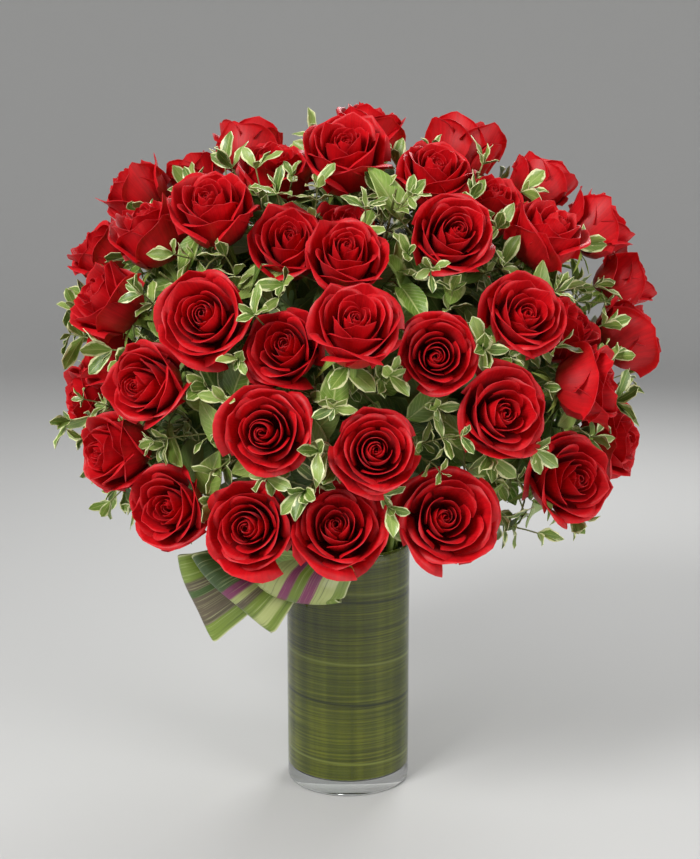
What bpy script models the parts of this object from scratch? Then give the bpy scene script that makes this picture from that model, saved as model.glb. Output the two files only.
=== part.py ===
"""Four dozen cut roses with mixed greenery in a leaf-lined glass cylinder vase.

Metres, +Z up, origin at the middle of the vase's underside, front of the bouquet towards -Y.
Azimuths are in degrees round +Z from the front, positive towards +X.
Elevations are in degrees above the horizontal.
"""

import math

import bpy
import bmesh
import numpy as np
from mathutils import Matrix, Vector
from mathutils.kdtree import KDTree

# ---- Driving dimensions ------------------------------------------------------------------------

VASE_RADIUS = 0.0635
VASE_HEIGHT = 0.254
VASE_WALL = 0.004
VASE_FLOOR = 0.014
VASE_SIDES = 48
VASE_EDGE = 0.0012  # softening of the rim and the foot

LINING_THICKNESS = 0.0005
LINING_OVERLAP = 0.006
LINING_GAP = 0.0004  # free room to the glass, and between leaves where they overlap
LINING_EDGES = (0.0165, 0.099, 0.172, 0.250)  # heights where one lining leaf hands over to the next

DOME_CENTRE = Vector((0, 0, 0.42))
DOME_HALF_AXES = Vector((0.275, 0.235, 0.235))  # the dome that the middles of the blooms lie on

SIDES = 8  # facets round every stem and bloom
TWIG_SIDES = 6
STEM_RADIUS = 0.0028
STEM_FOOT = VASE_FLOOR + 0.003
STEM_CUT_TAPER = 0.75
SPIRAL_TURN = math.radians(26)  # how far the stems wind between the vase's floor and its rim

BLOOM_REACH = 0.0372  # radius of the ball that a bloom of size 1 fits in
BLOOM_MIDDLE = 0.032  # from the neck to the middle of that ball
# (height above the neck, radius) of a bloom of size 1: hip, cup, widest, shoulder, rim
BLOOM_PROFILE = (
    (0.004, 0.0085),
    (0.011, 0.0235),
    (0.024, 0.0340),
    (0.038, 0.0360),
    (0.050, 0.0310),
)
BLOOM_EYE = 0.0590
PRESSED_APART = 0.0012  # the free gap that the settled blooms keep
END_DOME = 0.0006  # how far the cut foot of a stem bulges

# Slots for the stems where they pass the rim: (radius of the ring, how many stems it holds)
RIM_RINGS = ((0.0130, 6), (0.0225, 10), (0.0320, 14), (0.0410, 12), (0.0490, 11))

# Each rose: (azimuth, elevation, reach in hundredths of the dome),
# (azimuth, elevation that it looks towards), size
ROSES = (
    # lowest ring, resting over the vase's rim
    ((-40, -22, 100), (-26, 14), 0.98),
    ((-20, -25, 100), (-10, 14), 1.03),
    ((-2, -25, 100), (0, 32), 1.05),
    ((20, -23, 100), (10, 20), 1.13),
    ((50, -17, 100), (26, 14), 1.08),
    ((80, -13, 99), (62, 4), 1.02),
    # second ring
    ((-52, -11, 100), (-50, 4), 1.02),
    ((-14, -1, 101), (-4, 14), 1.00),
    ((5, -6, 100), (2, 18), 0.98),
    ((29, 1, 100), (16, 16), 1.03),
    ((50, 5, 104), (76, 10), 1.00),
    ((-80, -2, 94), (-66, 4), 0.88),
    # third ring
    ((-39, 6, 102), (-28, 12), 0.98),
    ((-13, 15, 93), (-14, 24), 0.93),
    ((17, 14, 99), (0, 12), 0.90),
    ((59, 17, 90), (62, 34), 0.94),
    ((84, 12, 103), (100, 24), 1.00),
    ((-67, 12, 93), (-86, 18), 0.88),
    # fourth ring
    ((-28, 21, 101), (-10, 20), 1.05),
    ((1, 20, 108), (5, 44), 1.04),
    ((36, 21, 102), (16, 30), 0.97),
    ((-60, 23, 99), (-66, 34), 0.99),
    ((102, 21, 113), (106, 34), 0.90),
    # fifth ring
    ((-58, 38, 101), (-58, 60), 1.02),
    ((-94, 31, 106), (-84, 48), 0.92),
    ((-18, 45, 89), (0, 42), 0.94),
    ((-1, 35, 99), (5, 40), 0.94),
    ((26, 41, 100), (10, 26), 0.98),
    ((56, 39, 103), (50, 58), 1.00),
    ((96, 36, 112), (100, 42), 0.98),
    # crown
    ((-37, 46, 101), (-12, 50), 1.02),
    ((-98, 47, 110), (-84, 50), 0.94),
    ((-113, 54, 106), (-120, 60), 0.90),
    ((-117, 66, 106), (165, 64), 0.96),
    ((-48, 70, 94), (0, 68), 0.98),
    ((-3, 69, 101), (0, 52), 1.08),
    ((150, 82, 108), (90, 74), 0.95),
    ((113, 65, 109), (150, 64), 1.00),
    ((36, 60, 101), (10, 54), 0.98),
    ((66, 55, 92), (34, 62), 0.98),
    ((104, 48, 111), (128, 54), 0.92),
    ((-3, 56, 80), (20, 60), 0.80),
    # back of the bouquet
    ((176, 46, 104), (176, 50), 1.02),
    ((-145, 30, 104), (-145, 34), 1.04),
    ((146, 30, 104), (146, 34), 1.04),
    ((180, 8, 106), (180, 16), 1.05),
    ((-132, -6, 106), (-132, 8), 1.04),
    ((132, -6, 106), (132, 8), 1.04),
)

# Each green branch: (azimuth, elevation, reach of its tip), kind
BRANCHES = (
    ((14, 52, 102), "pittosporum"),
    ((-47, 31, 96), "pittosporum"),
    ((-4, 5, 88), "pittosporum"),
    ((40, 10, 88), "salal"),
    ((-154, 10, 100), "salal"),
)
TIP_REACH = 0.006  # radius of the ball that a branch's tip keeps free
# kind: (leaf length, leaf width, leaves on the branch, from how far below the tip they start)
FOLIAGE = {
    "pittosporum": (0.030, 0.013, 14, 0.150),
    "salal": (0.056, 0.034, 9, 0.190),
}
LEAF_THICKNESS = 0.0009
LEAF_ARCH = 0.10  # how far a leaf arches up, as a share of its length
LEAF_TIP_RISE = 0.02
LEAF_GAP = 0.0022  # free room between a leaf and a bloom or a stem
LEAVES_APART = 0.0045
LEAF_JOINT = 0.0035  # length of twig that one leaf grows from
LEAF_SHRINK = 0.3  # how much smaller the last leaf at the tip is
LEAF_OUTWARD = 0.80  # a leaf leaves its twig outwards and forwards in these shares
LEAF_FORWARD = 0.60
TWIG_RADIUS = 0.00238
TWIG_TAPER = 0.55
TWIG_END = 0.004  # bare twig past the last leaf
TWIG_POINT = 0.003
BARE_GAP = 0.010  # shortest stretch of twig between its last bend and its first leaf
GOLDEN_ANGLE = math.radians(137.5)

TI_THICKNESS = 0.0007
TI_INSET = 0.0044  # how far inside the glass wall a ti leaf stands
TI_DEPTH = 0.045  # how far a ti leaf reaches down into the vase
# Each folded ti leaf: the two ends of its fold, and the azimuth where it crosses the vase's rim
TI_LEAVES = {
    "ti_leaf_back": (Vector((-0.170, -0.058, 0.254)), Vector((-0.133, -0.062, 0.165)), -72),
    "ti_leaf_middle": (Vector((-0.153, -0.092, 0.263)), Vector((-0.072, -0.098, 0.187)), -46),
    "ti_leaf_front": (Vector((-0.102, -0.110, 0.256)), Vector((-0.004, -0.104, 0.221)), -12),
}


# ---- Directions and placing --------------------------------------------------------------------


def heading(azimuth, elevation):
    """Unit vector for an azimuth and an elevation in degrees."""
    turn, rise = math.radians(azimuth), math.radians(elevation)
    return Vector((math.sin(turn) * math.cos(rise), -math.cos(turn) * math.cos(rise), math.sin(rise)))


def on_dome(azimuth, elevation, reach):
    return DOME_CENTRE + reach / 100 * heading(azimuth, elevation) * DOME_HALF_AXES


HALF_SHARE = 0.5  # each of two things that press on each other gives way by half
HOME_PULL = 0.04


def settled(middles, radii, rounds=300):
    """Pushes blooms that press on each other apart, while each is drawn back to its planned place."""
    planned = np.array(middles)
    places = planned.copy()
    apart = radii[:, None] + radii[None, :] + PRESSED_APART
    np.fill_diagonal(apart, 0)
    for step in range(rounds):
        gaps = places[:, None] - places[None, :]
        far = np.linalg.norm(gaps, axis=2) + 1e-9
        short = np.clip(apart - far, 0, None)
        places = places + HALF_SHARE * (gaps / far[..., None] * short[..., None]).sum(axis=1)
        home = HOME_PULL * (1 - step / rounds)
        places += home * (planned - places)
    return places


# ---- Stems -------------------------------------------------------------------------------------


def slots(targets):
    """A place on the rim for each stem. Steep stems get the inner rings, each filled by azimuth."""
    flat = np.linalg.norm(targets[:, :2], axis=1)
    lean = np.arctan2(flat, targets[:, 2] - VASE_HEIGHT)
    order = np.argsort(lean, kind="stable")
    places = np.zeros((len(targets), 2))
    first = 0
    for radius, count in RIM_RINGS:
        ring = order[first : first + count]
        first += count
        if not len(ring):
            continue
        angles = np.arctan2(targets[ring, 1], targets[ring, 0])
        ring, angles = ring[np.argsort(angles)], np.sort(angles)
        even = np.arange(len(ring)) * 2 * math.pi / len(ring)
        start = np.angle(np.exp(1j * (angles - even)).sum())
        places[ring] = radius * np.stack([np.cos(even + start), np.sin(even + start)], axis=1)
    return places


def foot_of(slot):
    """Where the stem in a rim slot stands on the floor: the same ring, wound back by the spiral."""
    turned = Matrix.Rotation(-SPIRAL_TURN, 3, "Z") @ Vector((*slot, 0))
    return Vector((turned.x, turned.y, STEM_FOOT))


def bezier(a, b, c, d, count):
    t = np.linspace(0, 1, count)[:, None]
    a, b, c, d = (np.array(p) for p in (a, b, c, d))
    return (1 - t) ** 3 * a + 3 * t * (1 - t) ** 2 * b + 3 * t**2 * (1 - t) * c + t**3 * d


STEM_PITCH = 0.006
STEMS_APART = 0.0092
STEM_TO_BLOOM = 0.0015
STEM_RISE = 0.42  # how long a stem keeps its first direction, as a share of its free span
STEM_TURN = 0.38  # how long it already has its last direction
LARGEST_STEP = 0.004
LOOSENING = 3  # points over which a stem's end gets free to move


def splayed(slot, neck, look):
    """A stem's free stretch, from the rim to the neck, as closely spaced points."""
    foot, rim = foot_of(slot), Vector((*slot, VASE_HEIGHT))
    span = (neck - rim).length
    rising = (rim - foot).normalized()
    outward = rim + rising * STEM_RISE * span
    count = max(8, round(1.1 * span / STEM_PITCH))
    return bezier(rim, outward, neck - look * STEM_TURN * span, neck, count)


def pushed_apart(stretches, middles, radii, rounds=90):
    """Moves the free stretches clear of each other and of the blooms. Their ends stay."""
    owner = np.concatenate([np.full(len(s), i) for i, s in enumerate(stretches)])
    points = np.concatenate(stretches)
    place = np.concatenate([np.arange(len(s)) for s in stretches])
    left = np.concatenate([len(s) - 1 - np.arange(len(s)) for s in stretches])
    loose = np.clip(np.minimum(place, left) / LOOSENING, 0, 1)[:, None]
    inner = (place > 0) & (left > 0)
    for _ in range(rounds):
        tree = KDTree(len(points))
        for i, p in enumerate(points):
            tree.insert(p, i)
        tree.balance()
        push = np.zeros_like(points)
        for i, p in enumerate(points):
            for _, j, far in tree.find_range(p, STEMS_APART):
                if owner[j] != owner[i] and far > 1e-7:
                    push[i] += HALF_SHARE * (STEMS_APART - far) * (p - points[j]) / far
        for i, (middle, radius) in enumerate(zip(middles, radii, strict=True)):
            away = points - middle
            far = np.linalg.norm(away, axis=1) + 1e-9
            short = np.clip(radius + STEM_RADIUS + STEM_TO_BLOOM - far, 0, None) * (owner != i)
            push += away / far[:, None] * short[:, None]
        step = np.linalg.norm(push, axis=1, keepdims=True)
        push *= np.minimum(1, LARGEST_STEP / np.maximum(step, 1e-9))
        points = points + loose * push
        eased = points.copy()
        index = np.flatnonzero(inner)
        middle = (points[index - 1] + points[index + 1]) / 2
        eased[index] = (points[index] + middle) / 2
        points = points + loose * (eased - points) / 2
    return [points[owner == i] for i in range(len(stretches))]


LINE_SLACK = 0.0014


def thinned(points, slack=LINE_SLACK):
    """Fewer points along a line, none further than slack from it."""
    a, b = points[0], points[-1]
    along = (b - a) / max(np.linalg.norm(b - a), 1e-9)
    off = points - a
    off = np.linalg.norm(off - np.outer(off @ along, along), axis=1)
    worst = int(np.argmax(off))
    if off[worst] < slack or len(points) < 3:
        return [a, b]
    return thinned(points[: worst + 1], slack)[:-1] + thinned(points[worst:], slack)


# ---- Making meshes -----------------------------------------------------------------------------


def clear_scene():
    for item in list(bpy.data.objects):
        bpy.data.objects.remove(item)


def material(name, colour, roughness, alpha=1.0):
    made = bpy.data.materials.new(name)
    made.use_nodes = True
    shader = made.node_tree.nodes["Principled BSDF"]
    shader.inputs["Base Color"].default_value = (*colour, 1)
    shader.inputs["Roughness"].default_value = roughness
    shader.inputs["Metallic"].default_value = 0.0
    shader.inputs["Alpha"].default_value = alpha
    made.diffuse_color = (*colour, alpha)
    return made


def add_object(name, mesh, finish):
    """Turns a bmesh into a named object with its faces pointing out."""
    bmesh.ops.recalc_face_normals(mesh, faces=mesh.faces)
    data = bpy.data.meshes.new(name)
    mesh.to_mesh(data)
    mesh.free()
    data.materials.append(finish)
    data.shade_smooth()
    data.set_sharp_from_angle(angle=math.radians(40))
    made = bpy.data.objects.new(name, data)
    bpy.context.scene.collection.objects.link(made)
    return made


def skinned(mesh, rings, first_pole=None, last_pole=None, closed=False):
    """Joins rings of points with quads, and closes the ends with a fan to a pole."""
    made = [[mesh.verts.new(p) for p in ring] for ring in rings]
    pairs = list(zip(made, made[1:] + made[:1]))
    for low, high in pairs if closed else pairs[:-1]:
        for i in range(len(low)):
            j = (i + 1) % len(low)
            mesh.faces.new((low[i], low[j], high[j], high[i]))
    for pole, ring in ((first_pole, made[0]), (last_pole, made[-1])):
        if pole is not None:
            tip = mesh.verts.new(pole)
            for i in range(len(ring)):
                mesh.faces.new((ring[i], ring[(i + 1) % len(ring)], tip))
    return made


def level_ring(radius, height, sides=VASE_SIDES):
    angles = [2 * math.pi * i / sides for i in range(sides)]
    return [Vector((radius * math.cos(a), radius * math.sin(a), height)) for a in angles]


def carried_frames(points):
    """A side direction and the line's own direction at each point, carried along without twist."""
    lines = np.gradient(np.array(points), axis=0)
    tangents = [Vector(t).normalized() for t in lines]
    side = tangents[0].orthogonal().normalized()
    frames = []
    for tangent in tangents:
        side = (side - tangent * side.dot(tangent)).normalized()
        frames.append((side, tangent))
    return frames


def tube_rings(points, radii, frames, sides=SIDES):
    angles = [2 * math.pi * i / sides for i in range(sides)]
    rings = []
    for point, radius, (side, tangent) in zip(points, radii, frames, strict=True):
        other = tangent.cross(side)
        spokes = [math.cos(a) * side + math.sin(a) * other for a in angles]
        rings.append([Vector(point) + radius * spoke for spoke in spokes])
    return rings


# ---- The vase and its lining -------------------------------------------------------------------


def vase(finish):
    """A straight glass cylinder with a thick floor and a softened foot and rim."""
    soft = VASE_EDGE
    inside = VASE_RADIUS - VASE_WALL
    rings = [
        level_ring(VASE_RADIUS - soft, 0),
        level_ring(VASE_RADIUS, soft),
        level_ring(VASE_RADIUS, VASE_HEIGHT - soft),
        level_ring(VASE_RADIUS - soft, VASE_HEIGHT),
        level_ring(inside + soft, VASE_HEIGHT),
        level_ring(inside, VASE_HEIGHT - soft),
        level_ring(inside, VASE_FLOOR + soft),
        level_ring(inside - soft, VASE_FLOOR),
    ]
    mesh = bmesh.new()
    skinned(mesh, rings, Vector((0, 0, 0)), Vector((0, 0, VASE_FLOOR)))
    return add_object("vase", mesh, finish)


def lining_leaf(name, low, high, outer, finish):
    """One broad leaf wrapped round the inside of the vase."""
    inner = outer - LINING_THICKNESS
    corners = ((outer, low), (outer, high), (inner, high), (inner, low))
    rings = [level_ring(radius, height) for radius, height in corners]
    mesh = bmesh.new()
    skinned(mesh, rings, closed=True)
    return add_object(name, mesh, finish)


def lining(finish):
    against_glass = VASE_RADIUS - VASE_WALL - LINING_GAP
    for i, name in enumerate(("lining_leaf_low", "lining_leaf_middle", "lining_leaf_high")):
        low, high = LINING_EDGES[i], LINING_EDGES[i + 1]
        if i == 1:
            low, high = low - LINING_OVERLAP / 2, high + LINING_OVERLAP / 2
        outer = against_glass - (LINING_THICKNESS + LINING_GAP if i == 1 else 0)
        lining_leaf(name, low, high, outer, finish)


# ---- Roses -------------------------------------------------------------------------------------


def whole_line(slot, stretch):
    """The stem from its foot to its neck, as few points as its bends need."""
    return [np.array(foot_of(slot))] + thinned(stretch)


def rose(name, line, look, size, finish):
    """One rose: a stem, and a bloom turned to where it looks, as a single skin of rings."""
    radii = [STEM_RADIUS * STEM_CUT_TAPER] + [STEM_RADIUS] * (len(line) - 1)
    frames = carried_frames(line)
    neck = Vector(line[-1])
    side, _ = frames[-1]
    side = (side - look * side.dot(look)).normalized()
    frames[-1] = (side, look)
    points = list(line)
    for height, radius in BLOOM_PROFILE:
        points.append(neck + look * height * size)
        radii.append(radius * size)
        frames.append((side, look))
    mesh = bmesh.new()
    rings = tube_rings(points, radii, frames)
    foot = Vector(line[0]) - END_DOME * frames[0][1]
    skinned(mesh, rings, foot, neck + look * BLOOM_EYE * size)
    return add_object(name, mesh, finish)


# ---- Greenery ----------------------------------------------------------------------------------


def segment_distance(points, a, b):
    """Distance from each of points to the segment from a to b."""
    along = b - a
    t = np.clip((points - a) @ along / max(along @ along, 1e-12), 0, 1)
    return np.linalg.norm(points - (a + t[:, None] * along), axis=1)


class Surroundings:
    """What a leaf stays clear of: balls for the blooms, capsules for the stems, and other leaves."""

    def __init__(self, middles, radii, lines):
        self.middles, self.radii, self.lines = middles, radii, lines
        self.leaves = []

    def free(self, outline, own, gap=LEAF_GAP):
        for middle, radius in zip(self.middles, self.radii, strict=True):
            if (np.linalg.norm(outline - middle, axis=1) < radius + gap).any():
                return False
        for i, line in enumerate(self.lines):
            if i == own:
                continue
            for a, b in zip(line, line[1:]):
                if (segment_distance(outline, np.array(a), np.array(b)) < STEM_RADIUS + gap).any():
                    return False
        for grown in self.leaves:
            apart = np.linalg.norm(outline[:, None] - grown[None], axis=2)
            if apart.min() < LEAVES_APART:
                return False
        return True


# share of a leaf's length, share of its width: petiole, lower half, widest, upper half
LEAF_OUTLINE = ((0.12, 0.10), (0.30, 0.72), (0.55, 1.0), (0.80, 0.66))
SECTION_CORNERS = ((-1, -1), (1, -1), (1, 1), (-1, 1))
UPPER_SIDE = 2  # the side of a section between its two upper corners


def leaf_sections(root, out, across, length, width):
    """The cross sections of a leaf that leaves its twig at root and arches away along out."""
    up = across.cross(out)
    sections = []
    for along, share in LEAF_OUTLINE:
        arch = LEAF_ARCH * length * math.sin(math.pi * along)
        middle = root + out * along * length + up * arch
        half = across * width * share / 2
        thick = up * LEAF_THICKNESS / 2
        sections.append([middle + sx * half + sy * thick for sx, sy in SECTION_CORNERS])
    tip = root + out * length + up * LEAF_TIP_RISE * length
    return sections, tip


def leaf_points(sections, tip, pitch=0.004):
    """Points all over a leaf's blade, no further apart than the pitch."""
    edges = [((s[0] + s[3]) / 2, (s[1] + s[2]) / 2) for s in sections] + [(tip, tip)]
    points = []
    for (left, right), (far_left, far_right) in zip(edges, edges[1:]):
        steps = max(1, math.ceil((far_left + far_right - left - right).length / 2 / pitch))
        for i in range(steps + 1):
            a, b = left.lerp(far_left, i / steps), right.lerp(far_right, i / steps)
            across = max(1, math.ceil((b - a).length / pitch))
            points += [a.lerp(b, j / across) for j in range(across + 1)]
    return np.array(points)


def in_turn(corners, across, up):
    """The four corners in order round their middle."""
    middle = sum(corners, Vector()) / 4
    return sorted(corners, key=lambda p: math.atan2((p - middle).dot(up), (p - middle).dot(across)))


def grow_leaf(mesh, face, root, out, across, length, width):
    """Draws a leaf out of one side face of its twig."""
    sections, tip = leaf_sections(root, out, across, length, width)
    up = across.cross(out)
    corners = {vertex.co.copy().freeze(): vertex for vertex in face.verts}
    rings = [[corners[place] for place in in_turn(list(corners), across, up)]]
    mesh.faces.remove(face)
    for section in sections:
        rings.append([mesh.verts.new(p) for p in in_turn(section, across, up)])
    for low, high in zip(rings, rings[1:]):
        for i in range(4):
            mesh.faces.new((low[i], low[(i + 1) % 4], high[(i + 1) % 4], high[i]))
    end = mesh.verts.new(tip)
    for i in range(4):
        mesh.faces.new((rings[-1][i], rings[-1][(i + 1) % 4], end))


def leafy_line(line, length, count, leafy):
    """A branch's line with a short straight joint for each leaf on its last stretch."""
    line = np.array(line)
    reach = np.concatenate([[0], np.cumsum(np.linalg.norm(np.diff(line, axis=0), axis=1))])
    bare = reach[-1] - leafy
    stations = [r for r in reach if r < bare - BARE_GAP]
    spots = np.linspace(bare, reach[-1] - TWIG_END, count)
    for spot in spots:
        stations += [spot - LEAF_JOINT / 2, spot + LEAF_JOINT / 2]
    stations.append(reach[-1] + TWIG_END)
    at = np.array(stations)
    inside = np.minimum(at, reach[-1])
    points = np.stack([np.interp(inside, reach, line[:, k]) for k in range(3)], axis=1)
    end = line[-1] - line[-2]
    points[-1] = line[-1] + TWIG_END * end / np.linalg.norm(end)
    return points, len(stations) - 1 - 2 * count


def branch(name, line, own, kind, around, finish):
    """One green branch: a twig that tapers to its tip, with leaves drawn out of it in a spiral."""
    length, width, count, leafy = FOLIAGE[kind]
    points, first_joint = leafy_line(line, length, count, leafy)
    taper = np.linspace(1, TWIG_TAPER, len(points))
    radii = [TWIG_RADIUS * float(share) for share in taper]
    radii[0] *= STEM_CUT_TAPER
    frames = carried_frames(points)
    rings = tube_rings(points, radii, frames, TWIG_SIDES)
    mesh = bmesh.new()
    foot = Vector(points[0]) - END_DOME * frames[0][1]
    made = skinned(mesh, rings, foot, Vector(points[-1]) + TWIG_POINT * frames[-1][1])
    for i in range(count):
        low, high = made[first_joint + 2 * i], made[first_joint + 2 * i + 1]
        _, tangent = frames[first_joint + 2 * i]
        turn = round(i * GOLDEN_ANGLE / (2 * math.pi) * TWIG_SIDES)
        for k in range(TWIG_SIDES):
            j = (turn + k) % TWIG_SIDES
            after = (j + 1) % TWIG_SIDES
            corners = (low[j], low[after], high[after], high[j])
            root = sum((v.co for v in corners), Vector()) / 4
            outward = (root - Vector(points[first_joint + 2 * i])).normalized()
            outward = (outward - tangent * outward.dot(tangent)).normalized()
            out = (outward * LEAF_OUTWARD + tangent * LEAF_FORWARD).normalized()
            across = tangent.cross(outward).normalized()
            shrink = 1 - LEAF_SHRINK * i / count
            sections, tip = leaf_sections(root, out, across, length * shrink, width * shrink)
            blade = leaf_points(sections, tip)
            if around.free(blade, own):
                face = mesh.faces.get(corners)
                grow_leaf(mesh, face, root, out, across, length * shrink, width * shrink)
                around.leaves.append(blade)
                break
    return add_object(name, mesh, finish)


def ti_leaf(name, fold_start, fold_end, rim_azimuth, finish):
    """A broad strap leaf led over the vase's rim, folded over outside it and led back in."""
    fold = (fold_start + fold_end) / 2
    half_fold = (fold_end - fold_start) / 2
    rim_out = heading(rim_azimuth, 0)
    rim_across = Vector((-rim_out.y, rim_out.x, 0))
    if rim_across.dot(half_fold) < 0:
        rim_across = -rim_across
    rim = rim_out * VASE_RADIUS + Vector((0, 0, VASE_HEIGHT))
    inside = rim_out * (VASE_RADIUS - VASE_WALL - TI_INSET)
    away = (fold - rim).normalized()
    lift = half_fold.cross(away).normalized()
    if lift.z < 0:
        lift = -lift
    up = Vector((0, 0, 1))
    between = rim_across.lerp(half_fold.normalized(), 0.5).normalized()
    # (middle of the section, half its width as a vector, direction of its thickness):
    # in the vase, over the rim, out to the fold, and back under to the rim
    sections = (
        (inside + up * (VASE_HEIGHT - TI_DEPTH), rim_across * 0.006, -rim_out),
        (inside + up * (VASE_HEIGHT - 0.006), rim_across * 0.010, -rim_out),
        (rim - rim_out * 0.004 + up * 0.0075, rim_across * 0.012, (up - rim_out).normalized()),
        (rim.lerp(fold, 0.45) + lift * 0.014, between * 0.034, lift),
        (rim.lerp(fold, 0.90) + lift * 0.008, half_fold * 0.92, lift),
        (fold, half_fold, away),
        (rim.lerp(fold, 0.90) - lift * 0.004, half_fold * 0.90, -lift),
        (rim.lerp(fold, 0.50) + lift * 0.002, between * 0.026, -lift),
        (rim.lerp(fold, 0.16) + up * 0.005, rim_across * 0.009, -up),
    )
    mesh = bmesh.new()
    rings = []
    for middle, half, thick in sections:
        square = thick - half * thick.dot(half) / half.length_squared
        thick = square.normalized() * TI_THICKNESS / 2
        rings.append([middle + sx * half + sy * thick for sx, sy in SECTION_CORNERS])
    made = skinned(mesh, rings)
    for ring in (made[0], made[-1]):
        mesh.faces.new(ring)
    # the strip twists, so its upper and lower skins are split along the same diagonal to stay apart
    upper = [face for i, face in enumerate(mesh.faces) if i % len(SECTION_CORNERS) == UPPER_SIDE]
    lower = [face for face in mesh.faces if face not in upper]
    bmesh.ops.triangulate(mesh, faces=upper, quad_method="FIXED")
    bmesh.ops.triangulate(mesh, faces=lower, quad_method="ALTERNATE")
    return add_object(name, mesh, finish)


# ---- The bouquet -------------------------------------------------------------------------------


def build():
    clear_scene()
    petal = material("rose_petal", (0.52, 0.006, 0.012), 0.5)
    leaf = material("leaf_green", (0.15, 0.23, 0.06), 0.5)
    banded = material("ti_leaf_green", (0.20, 0.28, 0.10), 0.4)
    lined = material("lining_green", (0.12, 0.20, 0.03), 0.45)
    glass = material("clear_glass", (0.9, 0.95, 0.93), 0.03, 0.35)

    vase(glass)
    lining(lined)
    for name, (start, end, azimuth) in TI_LEAVES.items():
        ti_leaf(name, start, end, azimuth, banded)

    sizes = [size for _, _, size in ROSES]
    looks = [heading(*look) for _, look, _ in ROSES]
    looks += [heading(*place[:2]) for place, _ in BRANCHES]
    radii = np.array([BLOOM_REACH * size for size in sizes] + [TIP_REACH] * len(BRANCHES))
    middles = settled([on_dome(*row[0]) for row in ROSES + BRANCHES], radii)
    necks = [Vector(middle) for middle in middles]
    for i, size in enumerate(sizes):
        necks[i] -= looks[i] * BLOOM_MIDDLE * size

    rim = slots(np.array(necks))
    stretches = [splayed(s, n, d) for s, n, d in zip(rim, necks, looks, strict=True)]
    stretches = pushed_apart(stretches, middles, radii)
    lines = [whole_line(s, stretch) for s, stretch in zip(rim, stretches, strict=True)]

    for i, (_, _, size) in enumerate(ROSES):
        rose(f"rose_{i + 1:02d}", lines[i], looks[i], size, petal)
    around = Surroundings(middles, radii, lines)
    numbers = {}
    for i, (_, kind) in enumerate(BRANCHES):
        numbers[kind] = numbers.get(kind, 0) + 1
        own = len(ROSES) + i
        branch(f"{kind}_branch_{numbers[kind]}", lines[own], own, kind, around, leaf)


build()
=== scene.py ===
# %% [markdown]
# # Four dozen roses in a leaf-lined glass cylinder
#
# The finished arrangement has five kinds of work in it: a clear vase, leaves wound inside it, rose stems
# with their blooms, branches of greenery between them, and a few folded leaves over the rim. The solid
# model gives the place of every stem and bloom. This lesson reads those places and grows the real surfaces
# on them.

import math

import bpy
import numpy as np
from mathutils import Matrix, Vector


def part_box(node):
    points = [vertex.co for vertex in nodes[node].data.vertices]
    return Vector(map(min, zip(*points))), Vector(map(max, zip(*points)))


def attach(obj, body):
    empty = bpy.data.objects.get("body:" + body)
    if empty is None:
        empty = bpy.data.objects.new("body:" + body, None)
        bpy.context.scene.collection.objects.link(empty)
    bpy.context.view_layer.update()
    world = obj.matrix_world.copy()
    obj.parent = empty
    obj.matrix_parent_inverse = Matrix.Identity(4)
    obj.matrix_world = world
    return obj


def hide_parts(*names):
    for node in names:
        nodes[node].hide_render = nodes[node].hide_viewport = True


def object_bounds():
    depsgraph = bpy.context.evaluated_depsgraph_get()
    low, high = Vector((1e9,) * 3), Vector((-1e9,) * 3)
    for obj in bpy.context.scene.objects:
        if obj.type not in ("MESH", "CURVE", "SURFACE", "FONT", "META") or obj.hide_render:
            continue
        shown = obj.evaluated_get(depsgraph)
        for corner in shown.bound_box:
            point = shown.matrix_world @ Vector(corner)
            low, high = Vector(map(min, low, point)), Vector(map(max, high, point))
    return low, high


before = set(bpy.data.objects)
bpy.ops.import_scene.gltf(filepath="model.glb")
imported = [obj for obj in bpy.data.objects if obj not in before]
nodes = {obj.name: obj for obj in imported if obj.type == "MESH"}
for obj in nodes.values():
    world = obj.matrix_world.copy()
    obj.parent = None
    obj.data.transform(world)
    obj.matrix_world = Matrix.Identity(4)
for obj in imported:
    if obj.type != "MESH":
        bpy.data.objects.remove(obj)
cad_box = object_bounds()
ROSE_NODES = sorted(name for name in nodes if name.startswith("rose_"))
BRANCH_NODES = sorted(name for name in nodes if "_branch_" in name)
TI_NODES = sorted(name for name in nodes if name.startswith("ti_leaf_"))
LINING_NODES = sorted(name for name in nodes if name.startswith("lining_leaf_"))
print(len(ROSE_NODES), "roses,", len(BRANCH_NODES), "branches,", len(TI_NODES), "folded leaves")

# %% [markdown]
# ## Small helpers
#
# A colour is written as a hex value, as on a paint card, and turned to the linear numbers that the renderer
# adds up. Everything else is made of two acts: adding a node to a tree, and turning points and faces into a
# piece.

# %% Colours, nodes and meshes
MM = 0.001


def colour(hex_value):
    """A hex colour as linear red, green, blue and alpha."""
    parts = [int(hex_value[i : i + 2], 16) / 255 for i in (1, 3, 5)]
    return (*(p / 12.92 if p <= 0.04045 else ((p + 0.055) / 1.055) ** 2.4 for p in parts), 1)


def add(tree, kind, inputs=None, **settings):
    """Adds a node with its settings. An input is a value, a socket, or a node for its first live output."""
    made = tree.nodes.new(kind)
    for name, value in settings.items():
        setattr(made, name, value)
    for name, value in (inputs or {}).items():
        if isinstance(value, bpy.types.Node):
            value = next(socket for socket in value.outputs if socket.enabled)
        if isinstance(value, bpy.types.NodeSocket):
            tree.links.new(value, made.inputs[name])
        else:
            made.inputs[name].default_value = value
    return made


def new_material(name):
    """An empty material with its Principled shader and the tree that it sits in."""
    made = bpy.data.materials.new(name)
    made.use_nodes = True
    return made, made.node_tree, made.node_tree.nodes["Principled BSDF"]


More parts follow.
